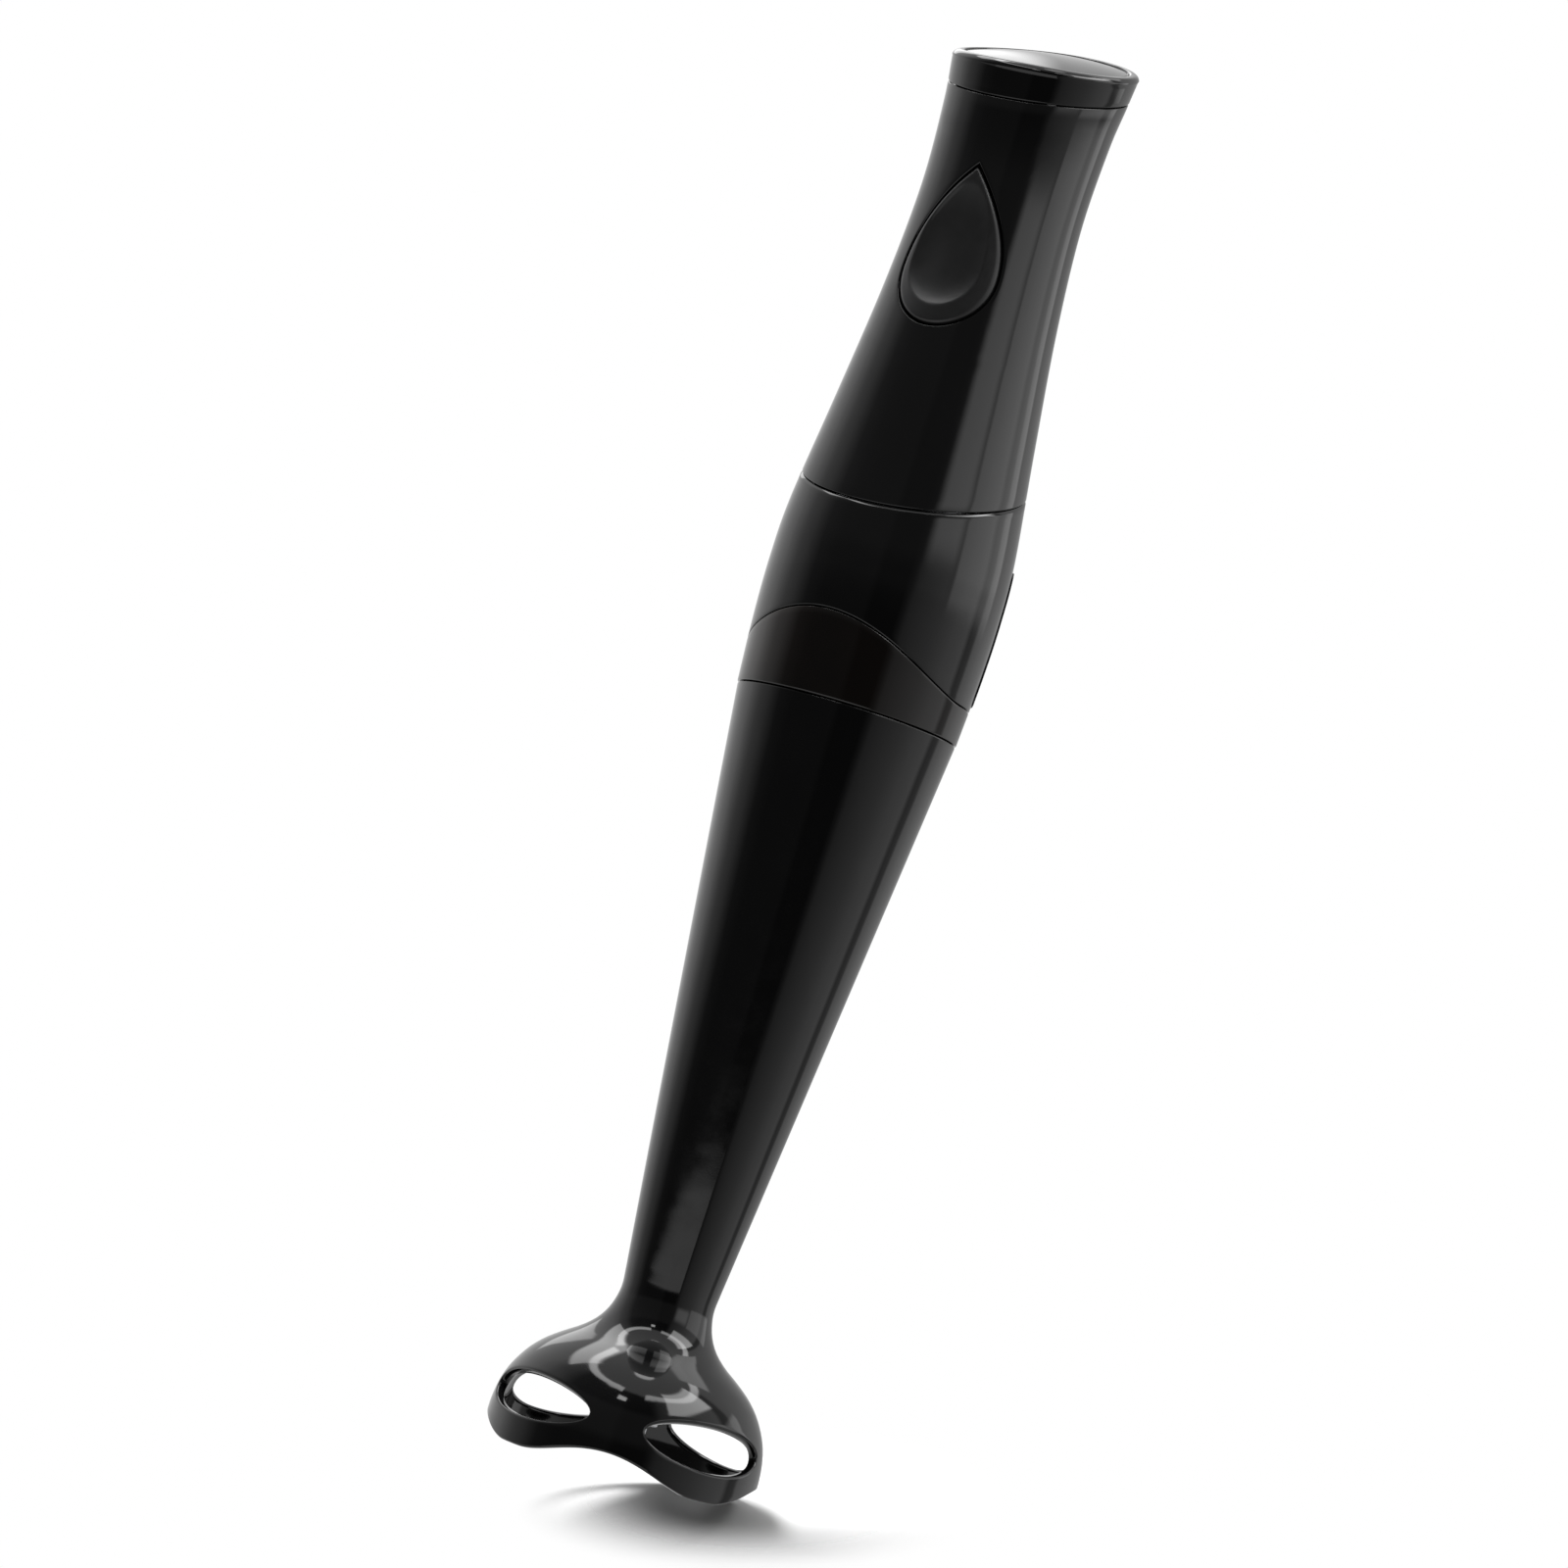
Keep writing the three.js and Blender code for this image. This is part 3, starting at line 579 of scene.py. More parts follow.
def grip():
    azimuth = around()
    reference = 21 * MM
    edge = 0.3 * MM
    low = tilted(GRIP_SEAM_Z + SEAM_GAP / 2, azimuth) + edge
    high = tilted(CAP_SEAM_Z - SEAM_GAP / 2, azimuth) - edge
    t = np.linspace(0, 1, 40)[:, None]
    heights = low + (high - low) * t
    hole_edge = 0.35 * MM
    x, z = teardrop(-hole_edge).T
    outline = np.stack([np.arcsin(x / skin(z)) * reference, z], -1)
    back = COLUMNS // 2
    ring = np.linspace(0, 2 * math.pi, 48, endpoint=False)
    gland = np.stack([
        math.pi * reference + GLAND_HOLE_R * np.cos(ring), GLAND_Z + GLAND_HOLE_R * np.sin(ring),
    ], -1)

    def rows_between(column, bottom, top):
        """The grid rows just outside an opening that spans those heights."""
        return [int(k) for k in np.searchsorted(heights[:, column], [bottom, top]) - [1, 0]]

    windows = [
        (-24, 24, *rows_between(0, 274 * MM, 327 * MM), outline, (0.0, 297 * MM)),
        (back - 9, back + 9, *rows_between(back, 327 * MM, 343 * MM), gland, (math.pi * reference, GLAND_Z)),
    ]
    sheet = opened_sheet(azimuth, heights, reference, windows)

    def position(a, z, inset):
        return place(a, skin(z) - inset, z)

    piece = thicken("grip_moulding", sheet, reference, [hole_edge, 0.2 * MM, edge, edge], WALL, position)
    stands_for(piece, "grip_shell")


def button():
    """Teardrop button: rounded edge, shallow thumb dish, skirt, hinge eye and plunger rib."""
    inset = 0.62 * MM
    round_r = 0.9 * MM
    count = 160
    centre = np.array([0.0, 294 * MM])

    def front(x, z, sink):
        return np.stack([x, -np.sqrt(skin(z) ** 2 - x ** 2) + sink, z], -1)

    def dish(x, z):
        """Depth of the thumb dish: a bowl low down that runs out towards the tip."""
        along = z - 295.5 * MM
        lower = np.clip(along / (-10.6 * MM), 0, None)
        upper = np.clip(along / (21 * MM), 0, None)
        side = np.abs(x + 0.7 * MM) / (9.3 * MM)
        reach = np.sqrt(side ** 2 + lower ** 2 + upper ** 2)
        bowl = np.clip(1 - reach ** 3.2, 0, 1)
        return 2.0 * MM * bowl ** 1.05

    outline = teardrop(inset, count)
    loops = []
    skirt = 3.2 * MM
    proud = -0.35 * MM
    for depth in (skirt, skirt * 0.6, round_r):
        loops.append(front(outline[:, 0], outline[:, 1], depth + proud))
    for angle in np.linspace(0, math.pi / 2, 8)[1:]:
        ring = teardrop(inset + round_r * (1 - math.cos(angle)), count)
        loops.append(front(ring[:, 0], ring[:, 1], round_r * (1 - math.sin(angle)) + proud))
    edge = teardrop(inset + round_r, count)
    for t in np.linspace(1, 0, 34)[1:]:
        ring = centre + (edge - centre) * t
        loops.append(front(ring[:, 0], ring[:, 1], proud + dish(ring[:, 0], ring[:, 1])))
    verts = np.array(loops).reshape(-1, 3)
    faces = grid_faces(len(loops), count)
    faces.append(tuple(range(count)))
    body = finish_mesh("button_moulding", verts, faces)

    arm = box_mesh((-2.4, 2.4), (-17.8, -13.6), (311.6, 316.2))
    reach = Vector((3.4 * MM, 0, 0))
    eye = rod_mesh(PIVOT - reach, PIVOT + reach, 2.4 * MM, 1.55 * MM)
    rib = box_mesh((-1.4, 1.4), (-17.6, -7.05), (293.2, 296.8))
    peg = rod_mesh((0, -18 * MM, SPRING_Z), (0, -16 * MM, SPRING_Z), 1.7 * MM)
    join(body, [arm, eye, rib, peg])
    shade_smooth(body.data)
    stands_for(body, "power_button")


def box_mesh(x, y, z, bevel=0.3):
    """A box with bevelled edges; limits in millimetres."""
    bm = bmesh.new()
    bmesh.ops.create_cube(bm, size=1)
    for v in bm.verts:
        v.co = Vector([(a + b) / 2 + part * (b - a) for part, (a, b) in zip(v.co, (x, y, z))]) * MM
    bmesh.ops.bevel(bm, geom=bm.edges, offset=bevel * MM, segments=2, affect="EDGES", profile=0.5)
    mesh = bpy.data.meshes.new("box")
    bm.to_mesh(mesh)
    bm.free()
    return link("box", mesh)


def rod_mesh(start, end, radius, bore=0.0, columns=32):
    """A round rod, or a bush if it has a bore, between two points in metres."""
    start, end = Vector(start), Vector(end)
    length = (end - start).length
    edge = min(0.25 * MM, radius * 0.2)
    profile = [
        (bore, 0), (radius - edge, 0), (radius, edge),
        (radius, length - edge), (radius - edge, length), (bore, length),
    ]
    loops = [place(around(columns), r, z) for r, z in profile]
    faces = grid_faces(len(profile), columns, close_rows=bool(bore))
    obj = finish_mesh("rod", np.array(loops).reshape(-1, 3), faces)
    turn = Vector((0, 0, 1)).rotation_difference((end - start).normalized()).to_matrix().to_4x4()
    obj.data.transform(Matrix.Translation(start) @ turn)
    return obj


def join(target, others):
    """Puts the others' meshes into the target's mesh and removes them."""
    bm = bmesh.new()
    bm.from_mesh(target.data)
    for other in others:
        bm.from_mesh(other.data)
    bm.to_mesh(target.data)
    bm.free()
    for other in others:
        bpy.data.objects.remove(other)


# ------------------------------------------------------------------ motor housing, plate, collar
PLATE_HALF = math.radians(68)
PLATE_Z = (198 * MM, 232 * MM)


def plate_pocket(azimuth, z, grow=0.0):
    """1 inside the pocket for the rating plate, 0 outside, with a narrow wall between."""
    from_back = np.abs((azimuth % (2 * math.pi)) - math.pi)
    across = (PLATE_HALF + grow / (28 * MM) - from_back) * 28 * MM
    up = np.minimum(z - PLATE_Z[0] + grow, PLATE_Z[1] + grow - z)
    return np.clip(np.minimum(across, up) / (0.15 * MM), 0, 1)


def housing():
    # columns crowd round the two ends of the pocket so that its walls stay crisp
    azimuth = around()
    ends = [math.pi - PLATE_HALF, math.pi + PLATE_HALF]
    extra = [e + d for e in ends for d in (-0.016, -0.0105, -0.0095, 0.0)]
    azimuth = np.sort(np.unique(np.round(np.concatenate([azimuth, extra]), 6)))
    low = collar_edge(azimuth) + SEAM_GAP / 2
    high = tilted(GRIP_SEAM_Z - SEAM_GAP / 2, azimuth)
    loops = []
    chamfer = [(i * MM, h * MM) for i, h in [(0, 0), (0.02, 0.04), (0.33, 0.66), (0.38, 0.7)]]
    for z, inset in shell_rows(low, high, 0.3 * MM, 0.7 * MM, WALL, 34, chamfer):
        sink = 0.4 * MM * plate_pocket(azimuth, z, 0.3 * MM) if inset < 1 * MM else 0.0
        loops.append(place(azimuth, skin(z) - inset - sink, z))
    stands_for(ring_solid("motor_housing_moulding", loops), "motor_housing")


def rating_plate():
    """A thin blank plate with rounded corners, wrapped round the back."""
    columns, rows = 90, 26
    corner = 2.5 * MM
    radius = 28.4 * MM
    half_width, half_height = PLATE_HALF * radius, (PLATE_Z[1] - PLATE_Z[0]) / 2
    grid_s, grid_h = np.meshgrid(
        np.linspace(-half_width, half_width, columns), np.linspace(-half_height, half_height, rows),
    )
    # pull the corners in to a round
    over_s = np.clip(np.abs(grid_s) - (half_width - corner), 0, None)
    over_h = np.clip(np.abs(grid_h) - (half_height - corner), 0, None)
    length = np.hypot(over_s, over_h)
    shrink = np.where(length > corner, corner / np.maximum(length, 1e-9), 1.0)
    s = np.sign(grid_s) * (np.abs(grid_s) - over_s + over_s * shrink)
    h = np.sign(grid_h) * (np.abs(grid_h) - over_h + over_h * shrink)
    azimuth = math.pi + s / radius
    z = sum(PLATE_Z) / 2 + h
    top = place(azimuth, skin(z) + 0.38 * MM, z).reshape(-1, 3)
    bottom = place(azimuth, skin(z) - 0.1 * MM, z).reshape(-1, 3)
    faces = grid_faces(rows, columns, close_columns=False)
    count = rows * columns
    all_faces = list(faces) + [tuple(k + count for k in reversed(f)) for f in faces]
    rim = list(range(columns))
    rim += [j * columns + columns - 1 for j in range(1, rows)]
    rim += [(rows - 1) * columns + i for i in range(columns - 2, -1, -1)]
    rim += [j * columns for j in range(rows - 2, 0, -1)]
    for n, a in enumerate(rim):
        b = rim[(n + 1) % len(rim)]
        all_faces.append((a, b, b + count, a + count))
    piece = finish_mesh("blank_plate", np.vstack([top, bottom]), all_faces)
    piece.data.set_sharp_from_angle(angle=math.radians(50))
    stands_for(piece, "rating_plate")


def collar():
    azimuth = around()
    low = np.full(COLUMNS, SHAFT_TOP_Z + SEAM_GAP)
    high = collar_edge(azimuth) - SEAM_GAP / 2
    edge_low, edge_high = 0.35 * MM, 0.3 * MM
    loops = []
    for inset, rise in reversed(edge_arc(edge_low)):
        z = low + edge_low - rise
        loops.append(place(azimuth, skin(z) - inset, z))
    for t in np.linspace(0, 1, 12)[1:]:
        z = low + edge_low + (high - edge_high - low - edge_low) * t
        loops.append(place(azimuth, skin(z), z))
    for inset, rise in edge_arc(edge_high)[1:]:
        z = high - edge_high + rise
        loops.append(place(azimuth, skin(z) - inset, z))
    # sleeve that stands up inside the housing, floor with the coupling hole, spigot below
    sleeve_top = np.full(COLUMNS, 212 * MM)
    inner = WALL + 0.35 * MM
    sleeve = [
        (high, inner), (sleeve_top, inner), (sleeve_top, inner + 2 * MM), (low + 3.4 * MM, inner + 2 * MM),
    ]
    loops += [place(azimuth, skin(z) - inset, z) for z, inset in sleeve]
    spigot = [
        (20, 191), (19.9, 190.6), (8.9, 190.4), (8.6, 190.1), (8.6, 187.8), (8.9, 187.5), (17.1, 187.5),
        (17.5, 187.1), (17.5, 181.3), (17.8, 181), (19.5, 181), (19.8, 181.3), (19.8, 187.1), (20.2, 187.5),
    ]
    loops += [place(azimuth, r * MM, z * MM) for r, z in spigot]
    stands_for(ring_solid("collar_moulding", loops), "collar")


# ------------------------------------------------------------------ blending shaft and guard
BELL = catmull([
    (33.3, -4), (33.3, 0), (33.3, 4), (33.25, 7.4), (32.75, 11.4), (31.75, 15), (30.3, 18.1), (28.1, 21.5),
    (25.2, 24.6), (21.6, 27.4), (17.8, 30), (14.9, 32.7), (13, 35.6), (11.9, 38.7), (11.42, 42), (11.75, 46),
    (12.3, 51), (14.4, 70.1), (17.7, 100.3), (22, 139.6), (26.35, 179.4), (27.2, 187.2), (27.7, 191.8),
])
GUARD_WALL = np.array([(0, 2.2), (20, 2.4), (30, 2.8), (36, 2.3), (46, 2.3), (60, 2.4)]) * MM  # (z, wall)


def bell(z):
    return np.interp(z, BELL[:, 1], BELL[:, 0])


def foot_lift(azimuth):
    wave = (1 + np.cos(LOBES * (azimuth - ARCH_AZIMUTH))) / 2
    lift = (ARCH_HEIGHT + LOBE_FLAT) * wave - LOBE_FLAT
    return (lift + np.sqrt(lift ** 2 + (0.2 * MM) ** 2)) / 2


def wave_foot(verts):
    """Lifts the guard's lower edge into arches between the lobes."""
    azimuth = np.arctan2(verts[:, 0], -verts[:, 1])
    low = verts[:, 2] < FOOT_BAND_Z
    fade = np.clip(1 - verts[:, 2] / FOOT_BAND_Z, 0, 1)
    fade = fade * fade * (3 - 2 * fade) * 0.35 + fade * 0.65
    verts = verts.copy()
    verts[:, 2] += np.where(low, foot_lift(azimuth) * fade, 0)
    return verts


def shaft_and_guard():
    columns = 240
    azimuth = around(columns, ARCH_AZIMUTH)
    edge = 0.55 * MM
    # rows: close together round the windows and the neck, wider up the straight shaft
    zs = np.concatenate([
        np.linspace(edge / MM, 6, 5), np.linspace(7.2, 24, 15), np.linspace(25, 48, 22),
        np.linspace(52, 182, 18), [186.85],
    ]) * MM
    heights = np.repeat(zs[:, None], columns, 1)
    reference = 32 * MM
    half_width, half_height, centre_z = 17.6 * MM, 5.35 * MM, 12.15 * MM
    window_edge = 0.6 * MM
    ring = np.linspace(0, 2 * math.pi, 120, endpoint=False)
    chord = (half_width + window_edge) * np.cos(ring)
    windows = []
    per_lobe = columns // LOBES
    span = per_lobe // 2 - 3
    rows = 2, int(np.searchsorted(zs, 21.3 * MM))
    for k in range(LOBES):
        middle = per_lobe * k + per_lobe // 2
        centre_azimuth = azimuth[0] + middle * (azimuth[1] - azimuth[0])
        rise = centre_z + (half_height + window_edge) * np.sin(ring)
        arc = np.arcsin(chord / bell(rise)) * reference
        outline = np.stack([centre_azimuth * reference + arc, rise], -1)
        windows.append((middle - span, middle + span, *rows, outline, (centre_azimuth * reference, centre_z)))
    sheet = opened_sheet(azimuth, heights, reference, windows, rings=8)

    def position(a, z, inset):
        # the full wall follows the skin square to it, so it stays even where the bell slopes
        slope = (bell(z + 0.1 * MM) - bell(z - 0.1 * MM)) / (0.2 * MM)
        square = np.sqrt(1 + slope ** 2)
        depth = inset * np.interp(z, GUARD_WALL[:, 0], GUARD_WALL[:, 1]) / WALL
        return place(a, bell(z) - depth / square, z + depth * slope / square)

    edges = [window_edge] * LOBES + [edge, 0.35 * MM]
    piece = thicken("shaft_moulding", sheet, reference, edges, WALL, position, wave_foot)
    boss = turned("boss", [(5.8, 23), (8.6, 23), (8.6, 38), (9.2, 44), (9.2, 48), (5.8, 48)], 96, 0.5)
    join(piece, [boss])
    shade_smooth(piece.data)
    stands_for(piece, "shaft_and_guard")


# ------------------------------------------------------------------ blade and drive
BLADE_TURN = math.radians(-70)  # at rest the blade points to the front, behind a pillar of the guard


def blade():
    """Two wings on a flat hub, one bent up and one bent down, each with a ground cutting edge."""
    thick, base, ground = 1.2 * MM, 12 * MM, 1.7 * MM
    verts, faces = [], []

    def wing(direction, bend):
        stations = np.linspace(0, 1, 15)
        start = len(verts)
        for t in stations:
            x = (3.2 + 18.6 * t) * MM
            lead = (-4.5 + 0.4 * t + 3.6 * max(0, t - 0.62) ** 1.6 / 0.22) * MM
            trail = (4.5 - 0.9 * t - 1.2 * max(0, t - 0.8) / 0.2) * MM
            past = max(0.0, x - 6.4 * MM)
            rise = math.tan(bend) * (past - 1.6 * MM * (1 - math.exp(-past / (1.6 * MM))))
            section = [
                (lead, 0.45), (lead, 0.55), (lead + ground, 1.0), (trail - 0.15 * MM, 1.0),
                (trail, 0.88), (trail, 0.12), (trail - 0.15 * MM, 0.0), (lead + ground * 0.2, 0.0),
            ]
            for y, level in section:
                verts.append((direction * x, direction * y, base + rise + thick * level))
        size = 8
        for j in range(len(stations) - 1):
            for i in range(size):
                a, b = start + j * size + i, start + j * size + (i + 1) % size
                faces.append((a, b, b + size, a + size))
        faces.append(tuple(start + i for i in range(size)))
        last = start + (len(stations) - 1) * size
        faces.append(tuple(last + i for i in range(size)))

    wing(1, math.radians(20))
    wing(-1, math.radians(-10))
    wings = finish_mesh("wings", verts, faces)
    wings.data.set_sharp_from_angle(angle=math.radians(28))
    hub = turned("hub", [(2.3, 12), (6.4, 12), (6.4, 13.2), (2.3, 13.2)], 64, 0.15)
    hub.data.set_sharp_from_angle(angle=math.radians(40))
    join(wings, [hub])
    wings.data.transform(Matrix.Rotation(BLADE_TURN, 4, "Z"))
    stands_for(wings, "blade").name = "blade_pressing"


def hex_loops(radius, z, corner=0.12):
    """Corner points of a hexagon with small flats cut at its corners."""
    points = []
    for k in range(6):
        for d in (-corner, corner):
            azimuth = 2 * math.pi * k / 6 + math.pi / 2 + d
            points.append(place(azimuth, radius * math.cos(d * 0.5) * MM, z * MM))
    return np.array(points)


def blade_nut():
    loops = [hex_loops(r, z) for r, z in [(3.9, 9), (4.4, 9.35), (4.4, 11.15), (3.9, 11.5)]]
    bore = [hex_loops(2.3, z, corner=math.pi / 12) for z in (11.5, 9)]
    piece = ring_solid("nut_pressing", loops + bore)
    piece.data.set_sharp_from_angle(angle=math.radians(25))
    stands_for(piece, "blade_nut")


def couplings():
    """The motor's hexagonal dog and the cup on the drive shaft that it drops into."""
    loops = [hex_loops(r, z) for r, z in [(4.0, 179), (5.0, 180.2), (5.0, 187.6)]]
    faces = grid_faces(3, 12) + [tuple(range(12)), tuple(range(24, 36))]
    dog = finish_mesh("dog", np.array(loops).reshape(-1, 3), faces)
    dog.data.set_sharp_from_angle(angle=math.radians(25))
    outline = [
        (2.8, 189.2), (2.8, 197.6), (5.4, 197.6), (5.4, 190.4),
        (7.4, 190.4), (7.4, 187.5), (0.5, 187.5), (0.5, 189.2),
    ]
    hub = turned("hub", outline, 64, 0.3)
    join(dog, [hub])
    stands_for(dog, "drive_coupling").name = "motor_dog"

    top, inner = 185.8, 177.4
    outer = [(3.3, 171.5), (8.7, 171.5), (9, 171.8), (9, 185.3), (8.5, top), (6.6, top)]
    angles = around(72, math.pi / 2)
    loops = [place(angles, r * MM, z * MM) for r, z in outer]
    sector = (angles - math.pi / 2 + math.pi / 6) % (math.pi / 3) - math.pi / 6
    for flat, z in [(5.2, top), (4.85, top - 0.5), (4.85, inner)]:
        loops.append(place(angles, flat * MM / np.cos(math.pi / 6 - np.abs(sector)), z * MM))
    loops.append(place(angles, 3.3 * MM, inner * MM))
    cup = ring_solid("coupling_cup", loops)
    cup.data.set_sharp_from_angle(angle=math.radians(40))
    stands_for(cup, "driven_coupling")


def round_parts():
    """Plain turned pieces, rebuilt round and with broken edges."""
    outlines = {
        "drive_shaft": [(0, 8.6), (2, 8.6), (2, 13.5), (3, 13.5), (3, 175.1), (0, 175.1)],
        "blade_spacer": [(3.3, 13.9), (5.2, 13.9), (5.2, 22.9), (3.3, 22.9)],
        "shaft_seal": [(3.3, 23.4), (5.5, 23.4), (5.5, 26.8), (3.3, 26.8)],
        "lower_bushing": [(3.3, 27.2), (5.5, 27.2), (5.5, 45), (3.3, 45)],
        "upper_bushing": [(3.3, 155), (5.5, 155), (5.5, 166), (3.3, 166)],
        "retaining_clip": [(3.3, 168.4), (5, 168.4), (5, 169.6), (3.3, 169.6)],
        "motor_shaft": [(0, 189.4), (2.5, 189.4), (2.5, 262), (0, 262)],
        "commutator": [(2.8, 245.6), (6.6, 245.6), (6.6, 251.8), (2.8, 251.8)],
        "motor_bearing_lower": [(2.8, 205.2), (5, 205.2), (5, 209.6), (2.8, 209.6)],
        "motor_bearing_upper": [(2.8, 252.4), (5, 252.4), (5, 257.4), (2.8, 257.4)],
        "motor_mount_lower": [(20.8, 213.5), (25.6, 213.5), (25.6, 219.5), (20.8, 219.5)],
        "motor_mount_upper": [(20.8, 244), (23.2, 244), (23.2, 250), (20.8, 250)],
        "rotor_winding_lower": [
            (3.8, 210.4), (10, 210.4), (12.4, 212), (12.4, 214.1), (10, 215.1), (3.8, 215.1),
        ],
        "rotor_winding_upper": [
            (3.8, 239.9), (10, 239.9), (12.4, 241.5), (12.4, 243.6), (10, 244.6), (3.8, 244.6),
        ],
        "motor_can": [(5.3, 206), (20.5, 206), (20.5, 252), (19.3, 252), (19.3, 207.2), (5.3, 207.2)],
        "motor_end_cap": [(5.3, 252.3), (20.5, 252.3), (20.5, 255.7), (8, 255.7), (8, 257.8), (5.3, 257.8)],
        "bearing_carrier": [
            (5.8, 154), (8.4, 154), (8.4, 158), (21.2, 158), (21.77, 163), (8.4, 163), (8.4, 167), (5.8, 167),
        ],
    }
    for node, outline in outlines.items():
        piece = turned(node + "_turned", outline, 72, 0.35)
        piece.data.set_sharp_from_angle(angle=math.radians(40))
        stands_for(piece, node)


def cord_gland():
    """Rubber bush in the back of the grip, with a soft rounded mouth."""
    outline = [
        (3.3, 13), (4.5, 13), (5.8, 14.4), (5.8, 16.9), (4.5, 16.9),
        (4.5, 21.9), (6.6, 21.9), (6, 23.6), (3.3, 23.6),
    ]
    piece = turned("gland_moulding", outline, 64, 0.6)
    piece.data.transform(Matrix.Translation((0, 0, GLAND_Z)) @ Matrix.Rotation(-math.pi / 2, 4, "X"))
    stands_for(piece, "cord_gland")


def pivot_and_spring():
    reach = Vector((6.2 * MM, 0, 0))
    pin = rod_mesh(PIVOT - reach, PIVOT + reach, 1.2 * MM)
    pin.name = "pivot_pin_turned"
    stands_for(pin, "button_pivot_pin")
    turns, r, y0, y1 = 4, 2.6 * MM, -15.2 * MM, 3.3 * MM
    steps, sides, wire = 180, 12, 0.35 * MM
    round_path = r * 2 * math.pi * turns
    loops = []
    for k in range(steps + 1):
        t = k / steps
        a = 2 * math.pi * turns * t
        centre = Vector((r * math.cos(a), y0 + (y1 - y0) * t, SPRING_Z + r * math.sin(a)))
        out = Vector((math.cos(a), 0, math.sin(a)))
        along = Vector((-math.sin(a) * round_path, y1 - y0, math.cos(a) * round_path))
        side = along.normalized().cross(out)
        loops.append([centre + wire * (math.cos(b) * out + math.sin(b) * side) for b in around(sides)])
    verts = np.array([[tuple(p) for p in loop] for loop in loops]).reshape(-1, 3)
    faces = grid_faces(steps + 1, sides)
    faces += [tuple(range(sides)), tuple(steps * sides + i for i in range(sides))]
    spring = finish_mesh("spring_wound", verts, faces)
    stands_for(spring, "button_spring")
    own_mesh(spring)


def soften_blocks():
    """Breaks the edges of the plain moulded blocks that stay as they are."""
    for node in ("switch_chassis", "circuit_board", "micro_switch", "rectifier", "suppression_capacitor",
                 "cord_clamp", "magnet_right", "magnet_left", "brush_right", "brush_left"):
        bevel = frame["nodes"][node].modifiers.new("edges", "BEVEL")
        bevel.width = 0.2 * MM
        bevel.segments = 2
        bevel.limit_method = "ANGLE"
        bevel.angle_limit = math.radians(50)


cap()
grip()
button()
housing()
rating_plate()
collar()
shaft_and_guard()
blade()
blade_nut()
couplings()
round_parts()
cord_gland()
pivot_and_spring()
soften_blocks()


# ------------------------------------------------------------------ stage, light and camera
CAMERA = {
    "azimuth": 23.745, "distance": 1.150, "height": 0.0798,
    "yaw": 0.47, "pitch": 4.34, "roll": 17.02, "lens": 110.6,
}


def camera():
    azimuth = math.radians(CAMERA["azimuth"])
    facing = azimuth + math.radians(CAMERA["yaw"])
    pitch, roll = math.radians(CAMERA["pitch"]), math.radians(CAMERA["roll"])
    back = Vector((math.sin(facing) * math.cos(pitch), -math.cos(facing) * math.cos(pitch), -math.sin(pitch)))
    right = Vector((math.cos(facing), math.sin(facing), 0))
    up = back.cross(right)
    rolled_right = right * math.cos(roll) + up * math.sin(roll)
    rolled_up = up * math.cos(roll) - right * math.sin(roll)
    data = bpy.data.cameras.new("camera")
    data.lens = CAMERA["lens"]
    data.sensor_width = 36
    data.clip_start, data.clip_end = 0.01, 100
    obj = bpy.data.objects.new("camera", data)
    turn = Matrix((rolled_right, rolled_up, back)).transposed().to_4x4()
    distance = CAMERA["distance"]
    spot = Vector((math.sin(azimuth) * distance, -math.cos(azimuth) * distance, CAMERA["height"]))
    obj.matrix_world = Matrix.Translation(spot) @ turn
    bpy.context.scene.collection.objects.link(obj)
    bpy.context.scene.camera = obj


# Levels of the surroundings seen in reflections: (degrees to the right of the camera, level).
AROUND_LEVELS = [
    (-180, 0.75), (-150, 0.85), (-122, 0.85), (-112, 0.66), (-103, 0.46), (-92, 0.36), (-84, 0.22),
    (-76, 0.09), (-60, 0.06), (-14, 0.06), (-8, 0.03), (18, 0.03), (23, 0.1), (28, 0.24), (38, 0.33),
    (60, 0.5), (80, 0.72), (98, 0.76), (101, 0.5), (104, 0.27), (112, 0.3), (116, 0.75), (130, 0.7),
    (150, 0.5), (165, 0.45), (180, 0.75),
]
CEILING_EDGE, CEILING_LEVEL = 60.0, 0.75
# Softboxes: left, right, lower and upper edge in degrees, softness of the edges, level.
SOFTBOXES = [
    (-98, 22, -92, -12.4, 0.8, 0.4),
    (-64, 22, -92, -12.4, 0.8, 0.45),
    (62, 128, 5, 36, 4, 0.85),
    (24, 66, 6, 36, 11, 0.95),
    (-120, 26, 3, 46, 9, 0.07),
    (-200, 200, 84, 95, 1.5, 4.0),
    (-150, -22, 58, 65, 2.0, 4.5),
    (8, 130, 58, 65, 2.0, 4.0),
    (-179, -150, 18, 44, 3, 1.3),
    (-157, -106, 46, 67, 3, 3.2),
    (37, 106, 47, 70, 3, 4.2),
    (128, 158, 50, 70, 3, 1.2),
    (-24, -12, 51, 56, 1, 6.0),
]


